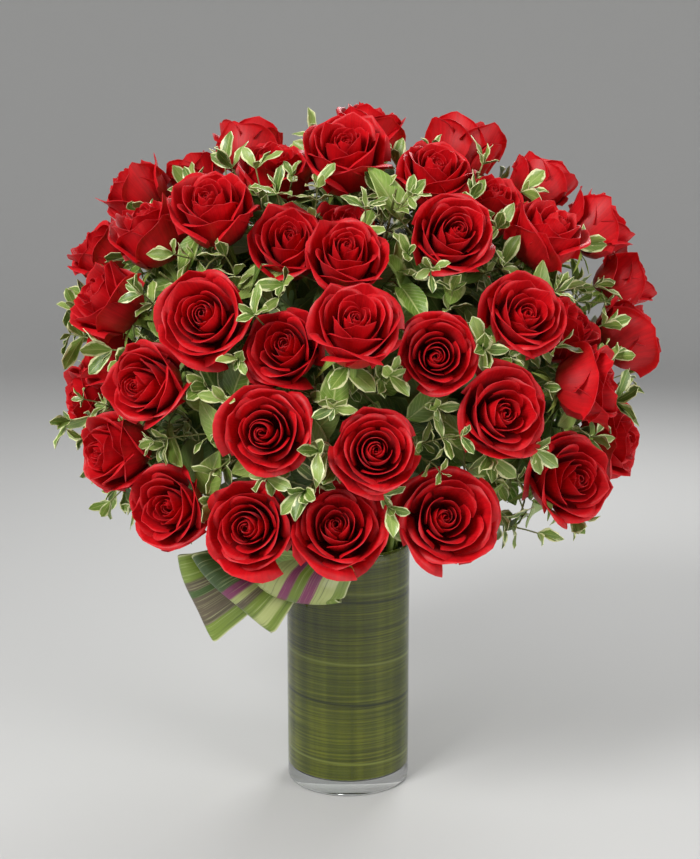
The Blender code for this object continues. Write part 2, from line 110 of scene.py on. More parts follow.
def ramp(tree, factor, *stops):
    """A colour ramp from (place, hex colour) stops."""
    made = add(tree, "ShaderNodeValToRGB", {0: factor})
    elements = made.color_ramp.elements
    while len(elements) < len(stops):
        elements.new(0.5)
    for element, (place, shade) in zip(elements, stops):
        element.position = place
        element.color = colour(shade)
    return made.outputs["Color"]


def new_mesh(name, points, faces=(), finish=None, smooth_below=50, edges=(), **attributes):
    """A mesh object from arrays, with point attributes, smooth except across sharp edges."""
    data = bpy.data.meshes.new(name)
    faces = [list(map(int, face)) for face in faces]
    data.from_pydata(np.asarray(points, float).tolist(), [list(map(int, edge)) for edge in edges], faces)
    for label, values in attributes.items():
        values = np.asarray(values, np.float32)
        kind, field = ("FLOAT", "value") if values.ndim == 1 else ("FLOAT_VECTOR", "vector")
        data.attributes.new(label, kind, "POINT").data.foreach_set(field, values.ravel())
    if len(faces):
        data.shade_smooth()
        data.set_sharp_from_angle(angle=math.radians(smooth_below))
    if finish is not None:
        data.materials.append(finish)
    made = bpy.data.objects.new(name, data)
    bpy.context.scene.collection.objects.link(made)
    return made


def triangles(obj):
    return sum(len(face.vertices) - 2 for face in obj.data.polygons)


def smoothstep(low, high, x):
    t = np.clip((x - low) / (high - low), 0, 1)
    return t * t * (3 - 2 * t)


def lerp(a, b, t):
    return a + (b - a) * t


# %% [markdown]
# ## Reading the stems from the solids
#
# Each rose is one solid made of rings: its foot, its stem, and the swelling of its bloom, closed by a point
# at each end. Walking over the mesh from the lowest point visits one ring after another, so the middle of
# each ring is a point on the stem's line. The last six steps are the bloom.

# %% Walk over a solid ring by ring
BLOOM_HEIGHT = 0.059  # from the neck to the eye of a bloom of size 1
BLOOM_MIDDLE = 0.032
BLOOM_REACH = 0.0372
BLOOM_RINGS = 6


def welded(obj):
    """A solid's points without doubles, its triangles, and each point's neighbours."""
    raw = np.array([v.co for v in obj.data.vertices], float)
    _, first, index = np.unique(np.round(raw, 6), axis=0, return_index=True, return_inverse=True)
    index = index.reshape(-1)
    faces = np.array([[index[i] for i in p.vertices] for p in obj.data.polygons])
    beside = [set() for _ in first]
    for face in faces:
        for a, b in zip(face, np.roll(face, 1)):
            if a != b:
                beside[a].add(int(b))
                beside[b].add(int(a))
    return raw[first], faces, beside


def levels(beside, start, barred=()):
    """The points reached from start in 0, 1, 2, ... steps."""
    seen, found, edge = set(start) | set(barred), [sorted(start)], set(start)
    while edge:
        edge = {q for p in edge for q in beside[p]} - seen
        seen |= edge
        if edge:
            found.append(sorted(edge))
    return found


class Rose:
    """Where one rose's stem runs, and where its bloom sits and looks."""

    def __init__(self, name):
        self.node = name
        self.number = int(name.split("_")[1])
        points, _, beside = welded(nodes[name])
        rings = levels(beside, [int(np.argmin(points[:, 2]))])
        middles = np.array([points[ring].mean(axis=0) for ring in rings])
        self.line = middles[1:-BLOOM_RINGS]
        self.neck = Vector(self.line[-1])
        eye = Vector(middles[-1])
        self.look = (eye - self.neck).normalized()
        self.size = (eye - self.neck).length / BLOOM_HEIGHT
        self.middle = self.neck + self.look * BLOOM_MIDDLE * self.size
        self.reach = BLOOM_REACH * self.size


roses = [Rose(name) for name in ROSE_NODES]
print("stem of the first rose:", len(roses[0].line), "points; sizes", [round(r.size, 2) for r in roses[:5]])

# %% [markdown]
# ## A bloom
#
# A cut rose is a spiral of about thirty petals, each turned from the last by the golden angle. The inner
# ones wrap round the bud, the middle ones cup it, and the outer ones flare and roll their edges back, which
# leaves the petal's tip as a point. A petal could be one shape copied round the flower, but then no bloom
# would look grown. Here every petal is drawn from a rule: its place in the spiral picks a side profile, and
# the profile, the petal's outline and the roll of its lip give its points. Each petal is a thin closed leaf
# of tissue with its own thickness.

# %% Side profiles from the heart of the bloom to its skirt
# Each row: share of the way out, then (radius, height) in mm up the petal, for a tight and for an open
# bloom.
PROFILES = (
    (0.0, ((1.0, 20), (2.2, 31), (3.0, 42), (2.4, 50), (0.8, 54)),
     ((1.0, 18), (2.2, 28), (3.0, 38), (2.6, 45), (1.2, 49))),
    (0.2, ((2.0, 15), (5.2, 27), (6.8, 40), (6.2, 50), (3.8, 57)),
     ((2.0, 15), (5.4, 25), (7.2, 37), (7.0, 46), (5.2, 53))),
    (0.4, ((3.0, 9), (10.0, 19), (12.4, 34), (11.8, 48), (9.6, 58)),
     ((3.0, 9), (10.0, 19), (12.8, 33), (13.2, 45), (13.2, 55))),
    (0.6, ((3.0, 6), (15.0, 12), (19.2, 28), (19.4, 43), (19.6, 56)),
     ((3.0, 6), (15.4, 12), (20.0, 27), (21.6, 40), (25.0, 52))),
    (0.8, ((3.5, 3), (18.5, 7), (24.8, 22), (26.0, 38), (28.4, 53)),
     ((3.5, 3), (19.5, 7), (26.2, 21), (29.4, 33), (34.4, 46))),
    (1.0, ((4.0, 1), (20.0, 4), (28.5, 17), (30.8, 33), (35.0, 47)),
     ((4.0, 1), (21.5, 4), (29.5, 16), (34.0, 27), (39.5, 37))),
)
GOLDEN_ANGLE = math.radians(137.5)


def profile(out, openness):
    """The five (radius, height) points of the petal that sits at this share of the way out."""
    shares = np.array([row[0] for row in PROFILES])
    tight = np.array([row[1] for row in PROFILES], float)
    wide = np.array([row[2] for row in PROFILES], float)
    table = lerp(tight, wide, openness)
    after = int(np.clip(np.searchsorted(shares, out), 1, len(shares) - 1))
    t = (out - shares[after - 1]) / (shares[after] - shares[after - 1])
    return lerp(table[after - 1], table[after], t)


def through(points, s):
    """A smooth curve through evenly spaced points, read at s from 0 to 1, and straight on past its end."""
    points = np.asarray(points, float)
    last = len(points) - 1
    at = np.clip(s, 0, 1) * last
    i = np.clip(np.floor(at).astype(int), 0, last - 1)
    t = (at - i)[..., None]
    padded = np.concatenate([2 * points[:1] - points[1:2], points, 2 * points[-1:] - points[-2:-1]])
    a, b, c, d = (padded[i + k] for k in range(4))
    curve = 0.5 * (2 * b + (c - a) * t + (2 * a - 5 * b + 4 * c - d) * t**2 + (3 * b - 3 * c + d - a) * t**3)
    return curve + (points[-1] - points[-2]) * last * np.clip(s - 1, 0, None)[..., None]


# %% One petal
PETAL_THICKNESS = 0.45 * MM


def petal(out, openness, turn, chance):
    """The middle of one petal as a grid of points in metres, with how far across and up each point is."""
    across, up = (13, 7) if out > 0.5 else (11, 6) if out > 0.2 else (11, 5)
    lip_rows = 4 if out > 0.5 else 2
    u = np.linspace(-1, 1, across)[None, :]
    rows = np.linspace(0, 1, up)[:, None]
    tip = chance.uniform(-0.35, 0.35)
    point = np.exp(-(((u - tip) / 0.20) ** 2))
    sides = lerp(0.12, 0.42, out)
    outline = 1 - sides * np.abs(u) ** 3 + lerp(0.02, 0.12, out) * chance.uniform(0.4, 1.6) * point
    outline = outline - chance.uniform(0, 0.14) + chance.uniform(-0.12, 0.12) * u
    s = rows * outline
    shape = profile(out, openness)
    r, z = np.moveaxis(through(shape, s), -1, 0)
    ahead = through(shape, s[-1] + 0.01) - through(shape, s[-1] - 0.01)
    heading = np.arctan2(ahead[:, 1], ahead[:, 0])[None, :]
    # the lip: an arc that bends outwards and down, least at the petal's point and on the inner petals
    curl = chance.uniform(0.7, 1.2) * lerp(0.15, lerp(1.1, 2.2, openness), smoothstep(0.2, 1.0, out))
    bend = lerp(0.8, 3.4, out) * chance.uniform(0.8, 1.2)
    away = 0.32 + 0.68 * smoothstep(0.05, 0.7, np.abs(u - tip))
    angle = np.linspace(0, 1, lip_rows + 1)[1:, None] * curl * away
    r = np.concatenate([r, r[-1:] + bend * (np.sin(heading) - np.sin(heading - angle))])
    z = np.concatenate([z, z[-1:] + bend * (np.cos(heading - angle) - np.cos(heading))])
    v = np.linspace(0, 1, len(r))[:, None]
    # petals are flatter than the circle they stand on, so their sides leave it, and their thin tissue waves
    flat = 0.20 * smoothstep(0.25, 0.9, out) * np.abs(u) ** 2 * smoothstep(0.3, 1.0, v)
    wave = chance.uniform(0.3, 1.1) * out * np.sin(u * chance.uniform(3, 5.5) + chance.uniform(0, 6.3)) * v**2
    lean = chance.uniform(-1.3, 1.1) * smoothstep(0.2, 0.7, v) * smoothstep(0.1, 0.4, out)
    r = r * (1 + flat) + wave + lean
    z = z + chance.uniform(0.2, 0.8) * np.sin(u * chance.uniform(3, 6) + chance.uniform(0, 6.3)) * v**3
    half = lerp(1.5, 1.12, smoothstep(0.05, 0.5, out)) * chance.uniform(0.8, 1.15)
    wide = half * (0.42 + 0.58 * smoothstep(0, 0.5, v))
    r = r * (1 + lerp(0.30, 0.05, smoothstep(0.0, 0.5, out)) * u * (0.6 + 0.4 * np.abs(u)))
    theta = turn + wide * u
    grid = np.stack([r * np.cos(theta), r * np.sin(theta), z + 0 * u], axis=-1) * MM
    return grid, np.broadcast_to(u, r.shape), np.broadcast_to(v, r.shape)


def thin_leaf(grid, thickness, taper=None):
    """Points and faces of a closed skin round a grid of points. The taper thins it towards its edges."""
    along, across = np.gradient(grid, axis=0), np.gradient(grid, axis=1)
    normal = np.cross(across, along)
    normal /= np.linalg.norm(normal, axis=2, keepdims=True) + 1e-12
    half = normal * (thickness / 2) * (1 if taper is None else taper[..., None])
    tall, broad = grid.shape[:2]
    points = np.concatenate([(grid + half).reshape(-1, 3), (grid - half).reshape(-1, 3)])
    index = np.arange(tall * broad).reshape(tall, broad)
    a, b, c, d = index[:-1, :-1], index[:-1, 1:], index[1:, 1:], index[1:, :-1]
    front = np.stack([a, b, c, d], axis=-1).reshape(-1, 4)
    back = front[:, ::-1] + tall * broad
    loop = np.concatenate([index[0, :-1], index[:-1, -1], index[-1, :0:-1], index[:0:-1, 0]])
    after = np.roll(loop, -1)
    rim = np.stack([loop, loop + tall * broad, after + tall * broad, after], axis=-1)
    return points, np.concatenate([front, back, rim])


# %% [markdown]
# ### Twenty-seven petals make a bloom
#
# Neighbouring blooms press on each other. Halfway between two blooms there is a plane that belongs to
# neither, and any petal that would cross it is pushed back to it, as the real ones push each other.

# %% A whole bloom, set on its neck
PETALS = 27
PRESS_GAP = 0.35 * MM
# How far each rose has opened, from a tight bud (0) to full flower (1), in the order of the rose solids
OPENNESS = (
    0.85, 0.80, 0.95, 1.00, 0.85, 0.70, 0.75, 0.80, 0.75, 0.85, 0.65, 0.50,
    0.60, 0.70, 0.65, 0.35, 0.50, 0.50, 0.85, 0.90, 0.75, 0.35, 0.40, 0.20,
    0.60, 0.70, 0.70, 0.65, 0.55, 0.55, 0.55, 0.45, 0.30, 0.50, 0.40, 0.65,
    0.60, 0.70, 0.45, 0.35, 0.50, 0.40, 0.70, 0.60, 0.60, 0.80, 0.70, 0.70,
)


def facing(look, turn=0.0):
    """A turn that takes local +Z to the look direction."""
    return look.to_track_quat("Z", "Y").to_matrix() @ Matrix.Rotation(turn, 3, "Z")


def pressed(points, rose):
    """Points of a bloom, pushed back from the planes halfway to its neighbours."""
    for other in roses:
        gap = other.middle - rose.middle
        if other is rose or gap.length > 0.098:
            continue
        side = np.array(gap.normalized())
        share = rose.reach / (rose.reach + other.reach)
        plane = np.array(rose.middle) + side * gap.length * share
        past = (points - plane) @ side + PRESS_GAP
        points = points - np.clip(past, 0, None)[:, None] * side
    return points


def heart():
    """A slim closed bud that fills the middle of the innermost petals."""
    profile_points = ((0.2, 8), (2.0, 16), (2.6, 28), (2.0, 38), (0.2, 43))
    turns = np.linspace(0, 2 * math.pi, 8, endpoint=False)
    points = [(r * math.cos(t) * MM, r * math.sin(t) * MM, z * MM) for r, z in profile_points for t in turns]
    faces = [
        (8 * ring + side, 8 * ring + (side + 1) % 8, 8 * ring + 8 + (side + 1) % 8, 8 * ring + 8 + side)
        for ring in range(len(profile_points) - 1)
        for side in range(8)
    ]
    last = 8 * (len(profile_points) - 1)
    return np.array(points), [*faces, tuple(range(7, -1, -1)), tuple(range(last, last + 8))]


def bloom(rose, finish):
    chance = np.random.default_rng(700 + rose.number)
    openness = OPENNESS[rose.number - 1]
    start = chance.uniform(0, 2 * math.pi)
    turned = np.array(facing(rose.look, start)) * rose.size
    core, faces = heart()
    points, blades, tones = [core], [np.tile((0, 0.5, 0), (len(core), 1))], [np.zeros(len(core))]
    count = len(core)
    aside = chance.uniform(-3.5, 3.5, 2) * MM
    sunk = chance.uniform(-1, 5) * MM
    for i in range(PETALS):
        out = (i / (PETALS - 1)) ** 1.05
        loose = lerp(0.9, 0.3, smoothstep(0.1, 0.5, out))
        turn = i * GOLDEN_ANGLE + chance.uniform(-loose, loose)
        grid, u, v = petal(out, openness, turn, chance)
        inner = (1 - smoothstep(0.15, 0.75, out)) * smoothstep(0.1, 0.5, v)
        grid[..., 0] += aside[0] * inner
        grid[..., 1] += aside[1] * inner
        grid[..., 2] -= sunk * inner
        edge = 1 - 0.6 * np.maximum(smoothstep(0.8, 1, np.abs(u)), smoothstep(0.85, 1, v))
        skin, quads = thin_leaf(grid, PETAL_THICKNESS, edge)
        points.append(skin)
        faces.extend(quads + count)
        count += len(skin)
        blade = np.stack([u.ravel(), v.ravel(), np.full(u.size, out)], axis=1)
        blades.append(np.tile(blade, (2, 1)))
        tones.append(np.full(len(skin), chance.uniform()))
    points = np.concatenate(points) @ turned.T + np.array(rose.neck)
    points = pressed(points, rose)
    name = f"bloom_{rose.number:02d}"
    return new_mesh(name, points, faces, finish, 55, blade=np.concatenate(blades), tone=np.concatenate(tones))


# %% [markdown]
# ### Velvet petal
#
# Rose petals are living tissue with a cone on each surface cell. The cones scatter light at grazing angles,
# so the petal looks like velvet: deep red face on, paler along its rim. A sheen gives that, with fine veins
# that fan up the petal. Painted shade darkens the foot of each petal, deep in the bloom, and a painted
# highlight lightens the petal tips to a thin pale rim, most on the outer petals. Light that comes through the
# tissue warms the shadows.

# %% The petal's finish
petal_velvet, tree, shader = new_material("rose_petal_velvet")
blade = add(tree, "ShaderNodeAttribute", attribute_name="blade")
place = add(tree, "ShaderNodeSeparateXYZ", {0: blade.outputs["Vector"]})
tone = add(tree, "ShaderNodeAttribute", attribute_name="tone")
spread_out = add(tree, "ShaderNodeMath", {0: place.outputs["X"], 1: 16.0}, operation="MULTIPLY")
along = add(tree, "ShaderNodeMath", {0: place.outputs["Y"], 1: 1.6}, operation="MULTIPLY")
apart = add(tree, "ShaderNodeMath", {0: tone.outputs["Fac"], 1: 40.0}, operation="MULTIPLY")
stretched = add(tree, "ShaderNodeCombineXYZ", {"X": spread_out, "Y": along, "Z": apart})
veins = add(tree, "ShaderNodeTexNoise", {"Vector": stretched, "Scale": 1.0, "Detail": 3.0}).outputs["Fac"]
grain = add(tree, "ShaderNodeTexCoord").outputs["Object"]
mottle = add(tree, "ShaderNodeTexNoise", {"Vector": grain, "Scale": 90.0, "Detail": 4.0}).outputs["Fac"]
blush = add(tree, "ShaderNodeMix", {"Factor": 0.45, 2: veins, 3: mottle}, data_type="FLOAT")
body = ramp(tree, blush, (0.30, "#AA020D"), (0.52, "#C60612"), (0.72, "#D80C19"))
# painted shade: each petal darkens towards its foot, deep in the bloom where shade falls
foot = ramp(tree, place.outputs["Y"], (0.10, "#A04048"), (0.42, "#FFFFFF"))
deep = add(tree, "ShaderNodeMix", {"Factor": 1.0, 6: body, 7: foot}, data_type="RGBA", blend_type="MULTIPLY")
# painted highlight: the petal tips lighten to a pale pink rim, most on the outer petals, as velvet looks
# where it catches the light
tips = {"Value": place.outputs["Y"], "From Min": 0.88, "From Max": 1.0, "To Min": 0.0, "To Max": 0.34}
outer = {"Value": place.outputs["Z"], "From Min": 0.1, "From Max": 0.6, "To Min": 0.25}
tips, outer = add(tree, "ShaderNodeMapRange", tips), add(tree, "ShaderNodeMapRange", outer)
margin = add(tree, "ShaderNodeMath", {0: tips, 1: outer}, operation="MULTIPLY")
finished = add(tree, "ShaderNodeMix", {"Factor": margin, 6: deep, 7: colour("#E8303C")}, data_type="RGBA")
tree.links.new(finished.outputs[2], shader.inputs["Base Color"])
shader.inputs["Roughness"].default_value = 0.52
shader.inputs["Specular IOR Level"].default_value = 0.35
shader.inputs["Sheen Weight"].default_value = 0.10
shader.inputs["Sheen Roughness"].default_value = 0.35
shader.inputs["Sheen Tint"].default_value = colour("#FF7A84")
shader.inputs["Subsurface Weight"].default_value = 0.22
shader.inputs["Subsurface Radius"].default_value = (0.004, 0.0008, 0.0006)
shader.inputs["Subsurface Scale"].default_value = 1.0
bump = add(tree, "ShaderNodeBump", {"Strength": 0.25, "Distance": 0.0006, "Height": veins})
tree.links.new(bump.outputs[0], shader.inputs["Normal"])

# %% Grow the blooms
for rose in roses:
    piece = bloom(rose, petal_velvet)
    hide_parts(rose.node)
    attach(piece, "root")
    rose.piece = piece
print(len(roses), "blooms,", sum(triangles(r.piece) for r in roses), "triangles")

# %% [markdown]
# ## Stems and twigs follow lines
#
# A stem is a line with a thickness. The line comes from the solid, smoothed, and a Geometry Nodes tree does
# the rest: it turns the line to a curve, draws a ring along it, scales the ring by the thickness stored on
# each point, and closes the ends. The same tree draws rose stems and green twigs, so only its inputs
# differ.


# %% Running a tree on a mesh
def geometry_tree(name, **inputs):
    """A Geometry Nodes tree with named inputs, and the sockets that come in and go out."""
    made = bpy.data.node_groups.new(name, "GeometryNodeTree")
    made.interface.new_socket("Geometry", in_out="INPUT", socket_type="NodeSocketGeometry")
    for label, kind in inputs.items():
        made.interface.new_socket(label, in_out="INPUT", socket_type="NodeSocket" + kind)
    made.interface.new_socket("Geometry", in_out="OUTPUT", socket_type="NodeSocketGeometry")
    return made, add(made, "NodeGroupInput").outputs, add(made, "NodeGroupOutput").inputs


def grown(source, growth, **values):
    """Runs a tree once on a mesh object and keeps what it makes as the object's own mesh."""
    step = source.modifiers.new(growth.name, "NODES")
    step.node_group = growth
    for item in growth.interface.items_tree:
        if item.in_out == "INPUT" and item.name in values:
            step[item.identifier] = values[item.name]
    seen = source.evaluated_get(bpy.context.evaluated_depsgraph_get())
    made = bpy.data.meshes.new_from_object(seen)
    source.modifiers.remove(step)
    source.data = made
    return source


def joined(name, parts):
    """Several mesh objects as one."""
    with bpy.context.temp_override(active_object=parts[0], selected_editable_objects=parts):
        bpy.ops.object.join()
    parts[0].name = name
    return parts[0]


# %% The tree for stems and twigs
stem_growth, given, result = geometry_tree("stem_along_a_line", Sides="Int", Finish="Material")
tree = stem_growth
thickness = add(tree, "GeometryNodeInputNamedAttribute", {"Name": "thickness"}, data_type="FLOAT")
line = add(tree, "GeometryNodeMeshToCurve", {"Mesh": given["Geometry"]})
ring = add(tree, "GeometryNodeCurvePrimitiveCircle", {"Resolution": given["Sides"], "Radius": 1.0})
drawn = {"Curve": line, "Profile Curve": ring, "Scale": thickness, "Fill Caps": True}
skin = add(tree, "GeometryNodeCurveToMesh", drawn)
whole = add(tree, "GeometryNodeRealizeInstances", {"Geometry": skin})
smooth = add(tree, "GeometryNodeSetShadeSmooth", {"Geometry": whole})
coated = add(tree, "GeometryNodeSetMaterial", {"Geometry": smooth, "Material": given["Finish"]})
tree.links.new(coated.outputs[0], result[0])


def stems(name, lines, thicknesses, sides, finish):
    """A mesh of stems along lines of points, with a thickness for every point."""
    starts = np.cumsum([0] + [len(line) for line in lines])
    edges = [(i, i + 1) for first, last in zip(starts, starts[1:]) for i in range(first, last - 1)]
    points = np.concatenate(lines)
    source = new_mesh(name, points, edges=edges, thickness=np.concatenate(thicknesses))
    return grown(source, stem_growth, Sides=sides, Finish=finish)


# %% [markdown]
# ### Green skin
#
# A rose stem has a waxy green skin with long streaks and a little red-brown where the light browns it. The
# twigs of the greenery are woodier: duller and greyer. Both are noise stretched along the stem, over a soft
# gloss.


# %% The finishes of stems and twigs
def streaked(name, dark, middle, light, roughness):
    """A plant's skin with streaks about 2 mm wide and 25 mm long."""
    made, tree, shader = new_material(name)
    place = add(tree, "ShaderNodeTexCoord").outputs["Object"]
    drawn = add(tree, "ShaderNodeMapping", {"Vector": place, "Scale": (500, 500, 40)})
    streaks = add(tree, "ShaderNodeTexNoise", {"Vector": drawn, "Scale": 1.0, "Detail": 3.0}).outputs["Fac"]
    shade = ramp(tree, streaks, (0.3, dark), (0.5, middle), (0.72, light))
    tree.links.new(shade, shader.inputs["Base Color"])
    shader.inputs["Roughness"].default_value = roughness
    bump = add(tree, "ShaderNodeBump", {"Strength": 0.3, "Distance": 0.0004, "Height": streaks})
    tree.links.new(bump.outputs[0], shader.inputs["Normal"])
    return made


rose_stem_skin = streaked("rose_stem_skin", "#66802E", "#8CA246", "#AAB960", 0.42)
twig_bark = streaked("twig_bark", "#5A5F33", "#7C8148", "#9A9A66", 0.62)

# %% Rose stems with their hips
STEM_SIDES = 10
HIP = ((-16, 3.1), (-9, 3.3), (-5, 4.6), (-1, 6.4), (3, 7.2), (7, 6.0))  # (mm past the neck, radius in mm)


def smooth_line(points, count):
    """A smooth line through points, resampled evenly along its length."""
    points = np.asarray(points, float)
    reach = np.concatenate([[0], np.cumsum(np.linalg.norm(np.diff(points, axis=0), axis=1))])
    even = np.linspace(0, reach[-1], count)
    share = np.interp(even, reach, np.arange(len(points)) / (len(points) - 1))
    return through(points, share)


for rose in roses:
    count = max(20, int(np.linalg.norm(np.diff(rose.line, axis=0), axis=1).sum() / 0.012))
    run = smooth_line(rose.line, count)
    before = run[np.linalg.norm(run - np.array(rose.neck), axis=1) > 20 * MM]
    hip = np.array([rose.neck + rose.look * along * MM * rose.size for along, _ in HIP])
    rose.run = np.concatenate([before, hip])
    wide = [radius * MM * rose.size for _, radius in HIP]
    rose.thickness = np.concatenate([np.linspace(2.9 * MM, 3.1 * MM, len(before)), wide])

# %% [markdown]
# ## Leaves grown on points
#
# Greenery is a few leaf shapes, carried hundreds of times. For each leaf only a place, a turn and a size
# are worked out. A Geometry Nodes tree then puts one of three shapes there, at a size that differs a
# little, and gives each leaf a number of its own that its finish reads as a shade. The shapes have few
# faces because there are so many of them.

# %% The tree for leaves
kinds = {"First": "Object", "Second": "Object", "Third": "Object"}
leaf_growth, given, result = geometry_tree(
    "leaves_on_points", **kinds, Spread="Float", Seed="Int", Finish="Material"
)
tree = leaf_growth
shapes = add(tree, "GeometryNodeJoinGeometry")
for label in ("Third", "Second", "First"):
    shape = add(tree, "GeometryNodeObjectInfo", {"Object": given[label], "As Instance": True})
    tree.links.new(shape.outputs["Geometry"], shapes.inputs[0])
turn = add(tree, "GeometryNodeInputNamedAttribute", {"Name": "turn"}, data_type="FLOAT_VECTOR")
grow = add(tree, "GeometryNodeInputNamedAttribute", {"Name": "grow"}, data_type="FLOAT")
chosen = add(tree, "FunctionNodeRandomValue", {4: 0, 5: 2, "Seed": given["Seed"]}, data_type="INT")
spread = add(tree, "FunctionNodeRandomValue", {2: -0.5, 3: 0.5, "Seed": given["Seed"]}, data_type="FLOAT")
widened = add(tree, "ShaderNodeMath", {0: spread, 1: given["Spread"], 2: 1.0}, operation="MULTIPLY_ADD")
sized = add(tree, "ShaderNodeMath", {0: grow, 1: widened}, operation="MULTIPLY")
turned = add(tree, "FunctionNodeEulerToRotation", {0: turn})
copies = {"Points": given["Geometry"], "Instance": shapes, "Pick Instance": True, "Instance Index": chosen}
carried = add(tree, "GeometryNodeInstanceOnPoints", {**copies, "Rotation": turned, "Scale": sized})
shade = add(tree, "FunctionNodeRandomValue", {2: 0.0, 3: 1.0, "Seed": given["Seed"]}, data_type="FLOAT")
kept = {"Geometry": carried, "Name": "tone", "Value": shade}
toned = add(tree, "GeometryNodeStoreNamedAttribute", kept, data_type="FLOAT", domain="INSTANCE")
whole = add(tree, "GeometryNodeRealizeInstances", {"Geometry": toned})
coated = add(tree, "GeometryNodeSetMaterial", {"Geometry": whole, "Material": given["Finish"]})
tree.links.new(coated.outputs[0], result[0])


# %% One leaf shape, one unit long
def leaf_shape(name, width, below, above, bend, fold, wave, rows, columns, phase):
    """A leaf along +Y that faces +Z. The powers below and above set how fast it widens and narrows again."""
    t = np.linspace(0, 1, rows)[:, None]
    u = np.linspace(-1, 1, columns)[None, :]
    widest = below / (below + above)
    share = t**below * (1 - t) ** above / (widest**below * (1 - widest) ** above)
    x = width / 2 * np.clip(share, 0.06, None) * u
    ripple = wave * np.sin(8 * t + 2.5 * u + phase) * u**2 * share
    z = fold * np.abs(x) - bend * t**2 + ripple
    grid = np.stack([x, t + 0 * u, z], axis=-1)
    skin, quads = thin_leaf(grid, 0.016)
    blade = np.stack(np.broadcast_arrays(u, t, 0.0), axis=-1).reshape(-1, 3)
    return new_mesh(name, skin, quads, None, 80, blade=np.tile(blade, (2, 1)))


def leaf_shapes(name, width, below, above, bend, fold, wave, rows=7, columns=5):
    """Three of a kind: a flat one, a bent one and a folded one."""
    kinds = ((0.5, 0.6, 0.0), (1.3, 0.8, 2.1), (0.9, 1.6, 4.0))
    return [
        leaf_shape(f"{name}_{i}", width, below, above, bend * b, fold * f, wave, rows, columns, phase)
        for i, (b, f, phase) in enumerate(kinds)
    ]


SHAPES = {
    "pittosporum": leaf_shapes("pittosporum", 0.44, 0.95, 0.60, 0.20, 0.22, 0.070),
    "salal": leaf_shapes("salal", 0.52, 0.62, 0.80, 0.22, 0.28, 0.030, 8),
    "rose_leaf": leaf_shapes("rose_leaf", 0.60, 0.60, 0.85, 0.30, 0.20, 0.035, 8),
    "sepal": leaf_shapes("sepal", 0.26, 0.30, 1.10, 0.45, 0.10, 0.040, 5, 3),
}
WIDTHS = {"pittosporum": 0.44, "salal": 0.52, "rose_leaf": 0.60, "sepal": 0.26}


# %% [markdown]
# ### Leaf finishes
#
# The variegated pittosporum has a thin leathery leaf: sage green in two shades in the middle, and a cream
# margin that wanders because the pale tissue has no fixed border. Salal, sold as lemon leaf, is thick and
# waxy with a pale midrib and side veins that run forwards. Rose leaves and sepals are softer and duller.
# All of them read how far across and up the blade they are, and the leaf's own shade.


# %% Leaves: a midrib, side veins, mottling and a margin
def leaf_finish(name, greens, rib, margin, margin_at, roughness, bump_height):
    made, tree, shader = new_material(name)
    blade = add(tree, "ShaderNodeAttribute", attribute_name="blade")
    place = add(tree, "ShaderNodeSeparateXYZ", {0: blade.outputs["Vector"]})
    tone = add(tree, "ShaderNodeAttribute", attribute_name="tone").outputs["Fac"]
    across = add(tree, "ShaderNodeMath", {0: place.outputs["X"]}, operation="ABSOLUTE")
    shift = add(tree, "ShaderNodeMath", {0: tone, 1: 40.0}, operation="MULTIPLY")
    moved = add(tree, "ShaderNodeCombineXYZ", {"X": shift, "Y": shift, "Z": shift})
    where = add(tree, "ShaderNodeVectorMath", {0: blade.outputs["Vector"], 1: moved}, operation="ADD")
    patches = add(tree, "ShaderNodeTexNoise", {"Vector": where, "Scale": 2.6, "Detail": 3.0}).outputs["Fac"]
    mixed = add(tree, "ShaderNodeMix", {"Factor": 0.5, 2: patches, 3: tone}, data_type="FLOAT")
    body = ramp(tree, mixed, (0.25, greens[0]), (0.5, greens[1]), (0.75, greens[2]))
    # side veins: stripes that run forwards from the midrib, ten on each side
    slant = {0: across, 1: -0.30, 2: place.outputs["Y"]}
    slant = add(tree, "ShaderNodeMath", slant, operation="MULTIPLY_ADD")
    stripes = add(tree, "ShaderNodeMath", {0: slant, 1: 63.0}, operation="MULTIPLY")
    veins = add(tree, "ShaderNodeMath", {0: stripes}, operation="SINE")
    fine = {"Value": veins, "From Min": 0.75, "From Max": 1.0, "To Max": 0.35}
    middle = {"Value": across, "From Min": 0.09, "From Max": 0.03, "To Max": 0.85}
    fine, middle = add(tree, "ShaderNodeMapRange", fine), add(tree, "ShaderNodeMapRange", middle)
    ribs = add(tree, "ShaderNodeMath", {0: fine, 1: middle}, operation="MAXIMUM")
    ribbed = add(tree, "ShaderNodeMix", {"Factor": ribs, 6: body, 7: colour(rib)}, data_type="RGBA")
    border = add(tree, "ShaderNodeMath", {0: patches, 1: 1.1, 2: across}, operation="MULTIPLY_ADD")
    edge = {"Value": border, "From Min": margin_at + 0.52, "From Max": margin_at + 0.60}
    edge = add(tree, "ShaderNodeMapRange", edge)
    painted = add(tree, "ShaderNodeMix", {"Factor": edge, 6: ribbed, 7: colour(margin)}, data_type="RGBA")
    tree.links.new(painted.outputs[2], shader.inputs["Base Color"])
    shader.inputs["Roughness"].default_value = roughness
    bump = add(tree, "ShaderNodeBump", {"Strength": 0.5, "Distance": bump_height, "Height": ribs})
    tree.links.new(bump.outputs[0], shader.inputs["Normal"])
    return made


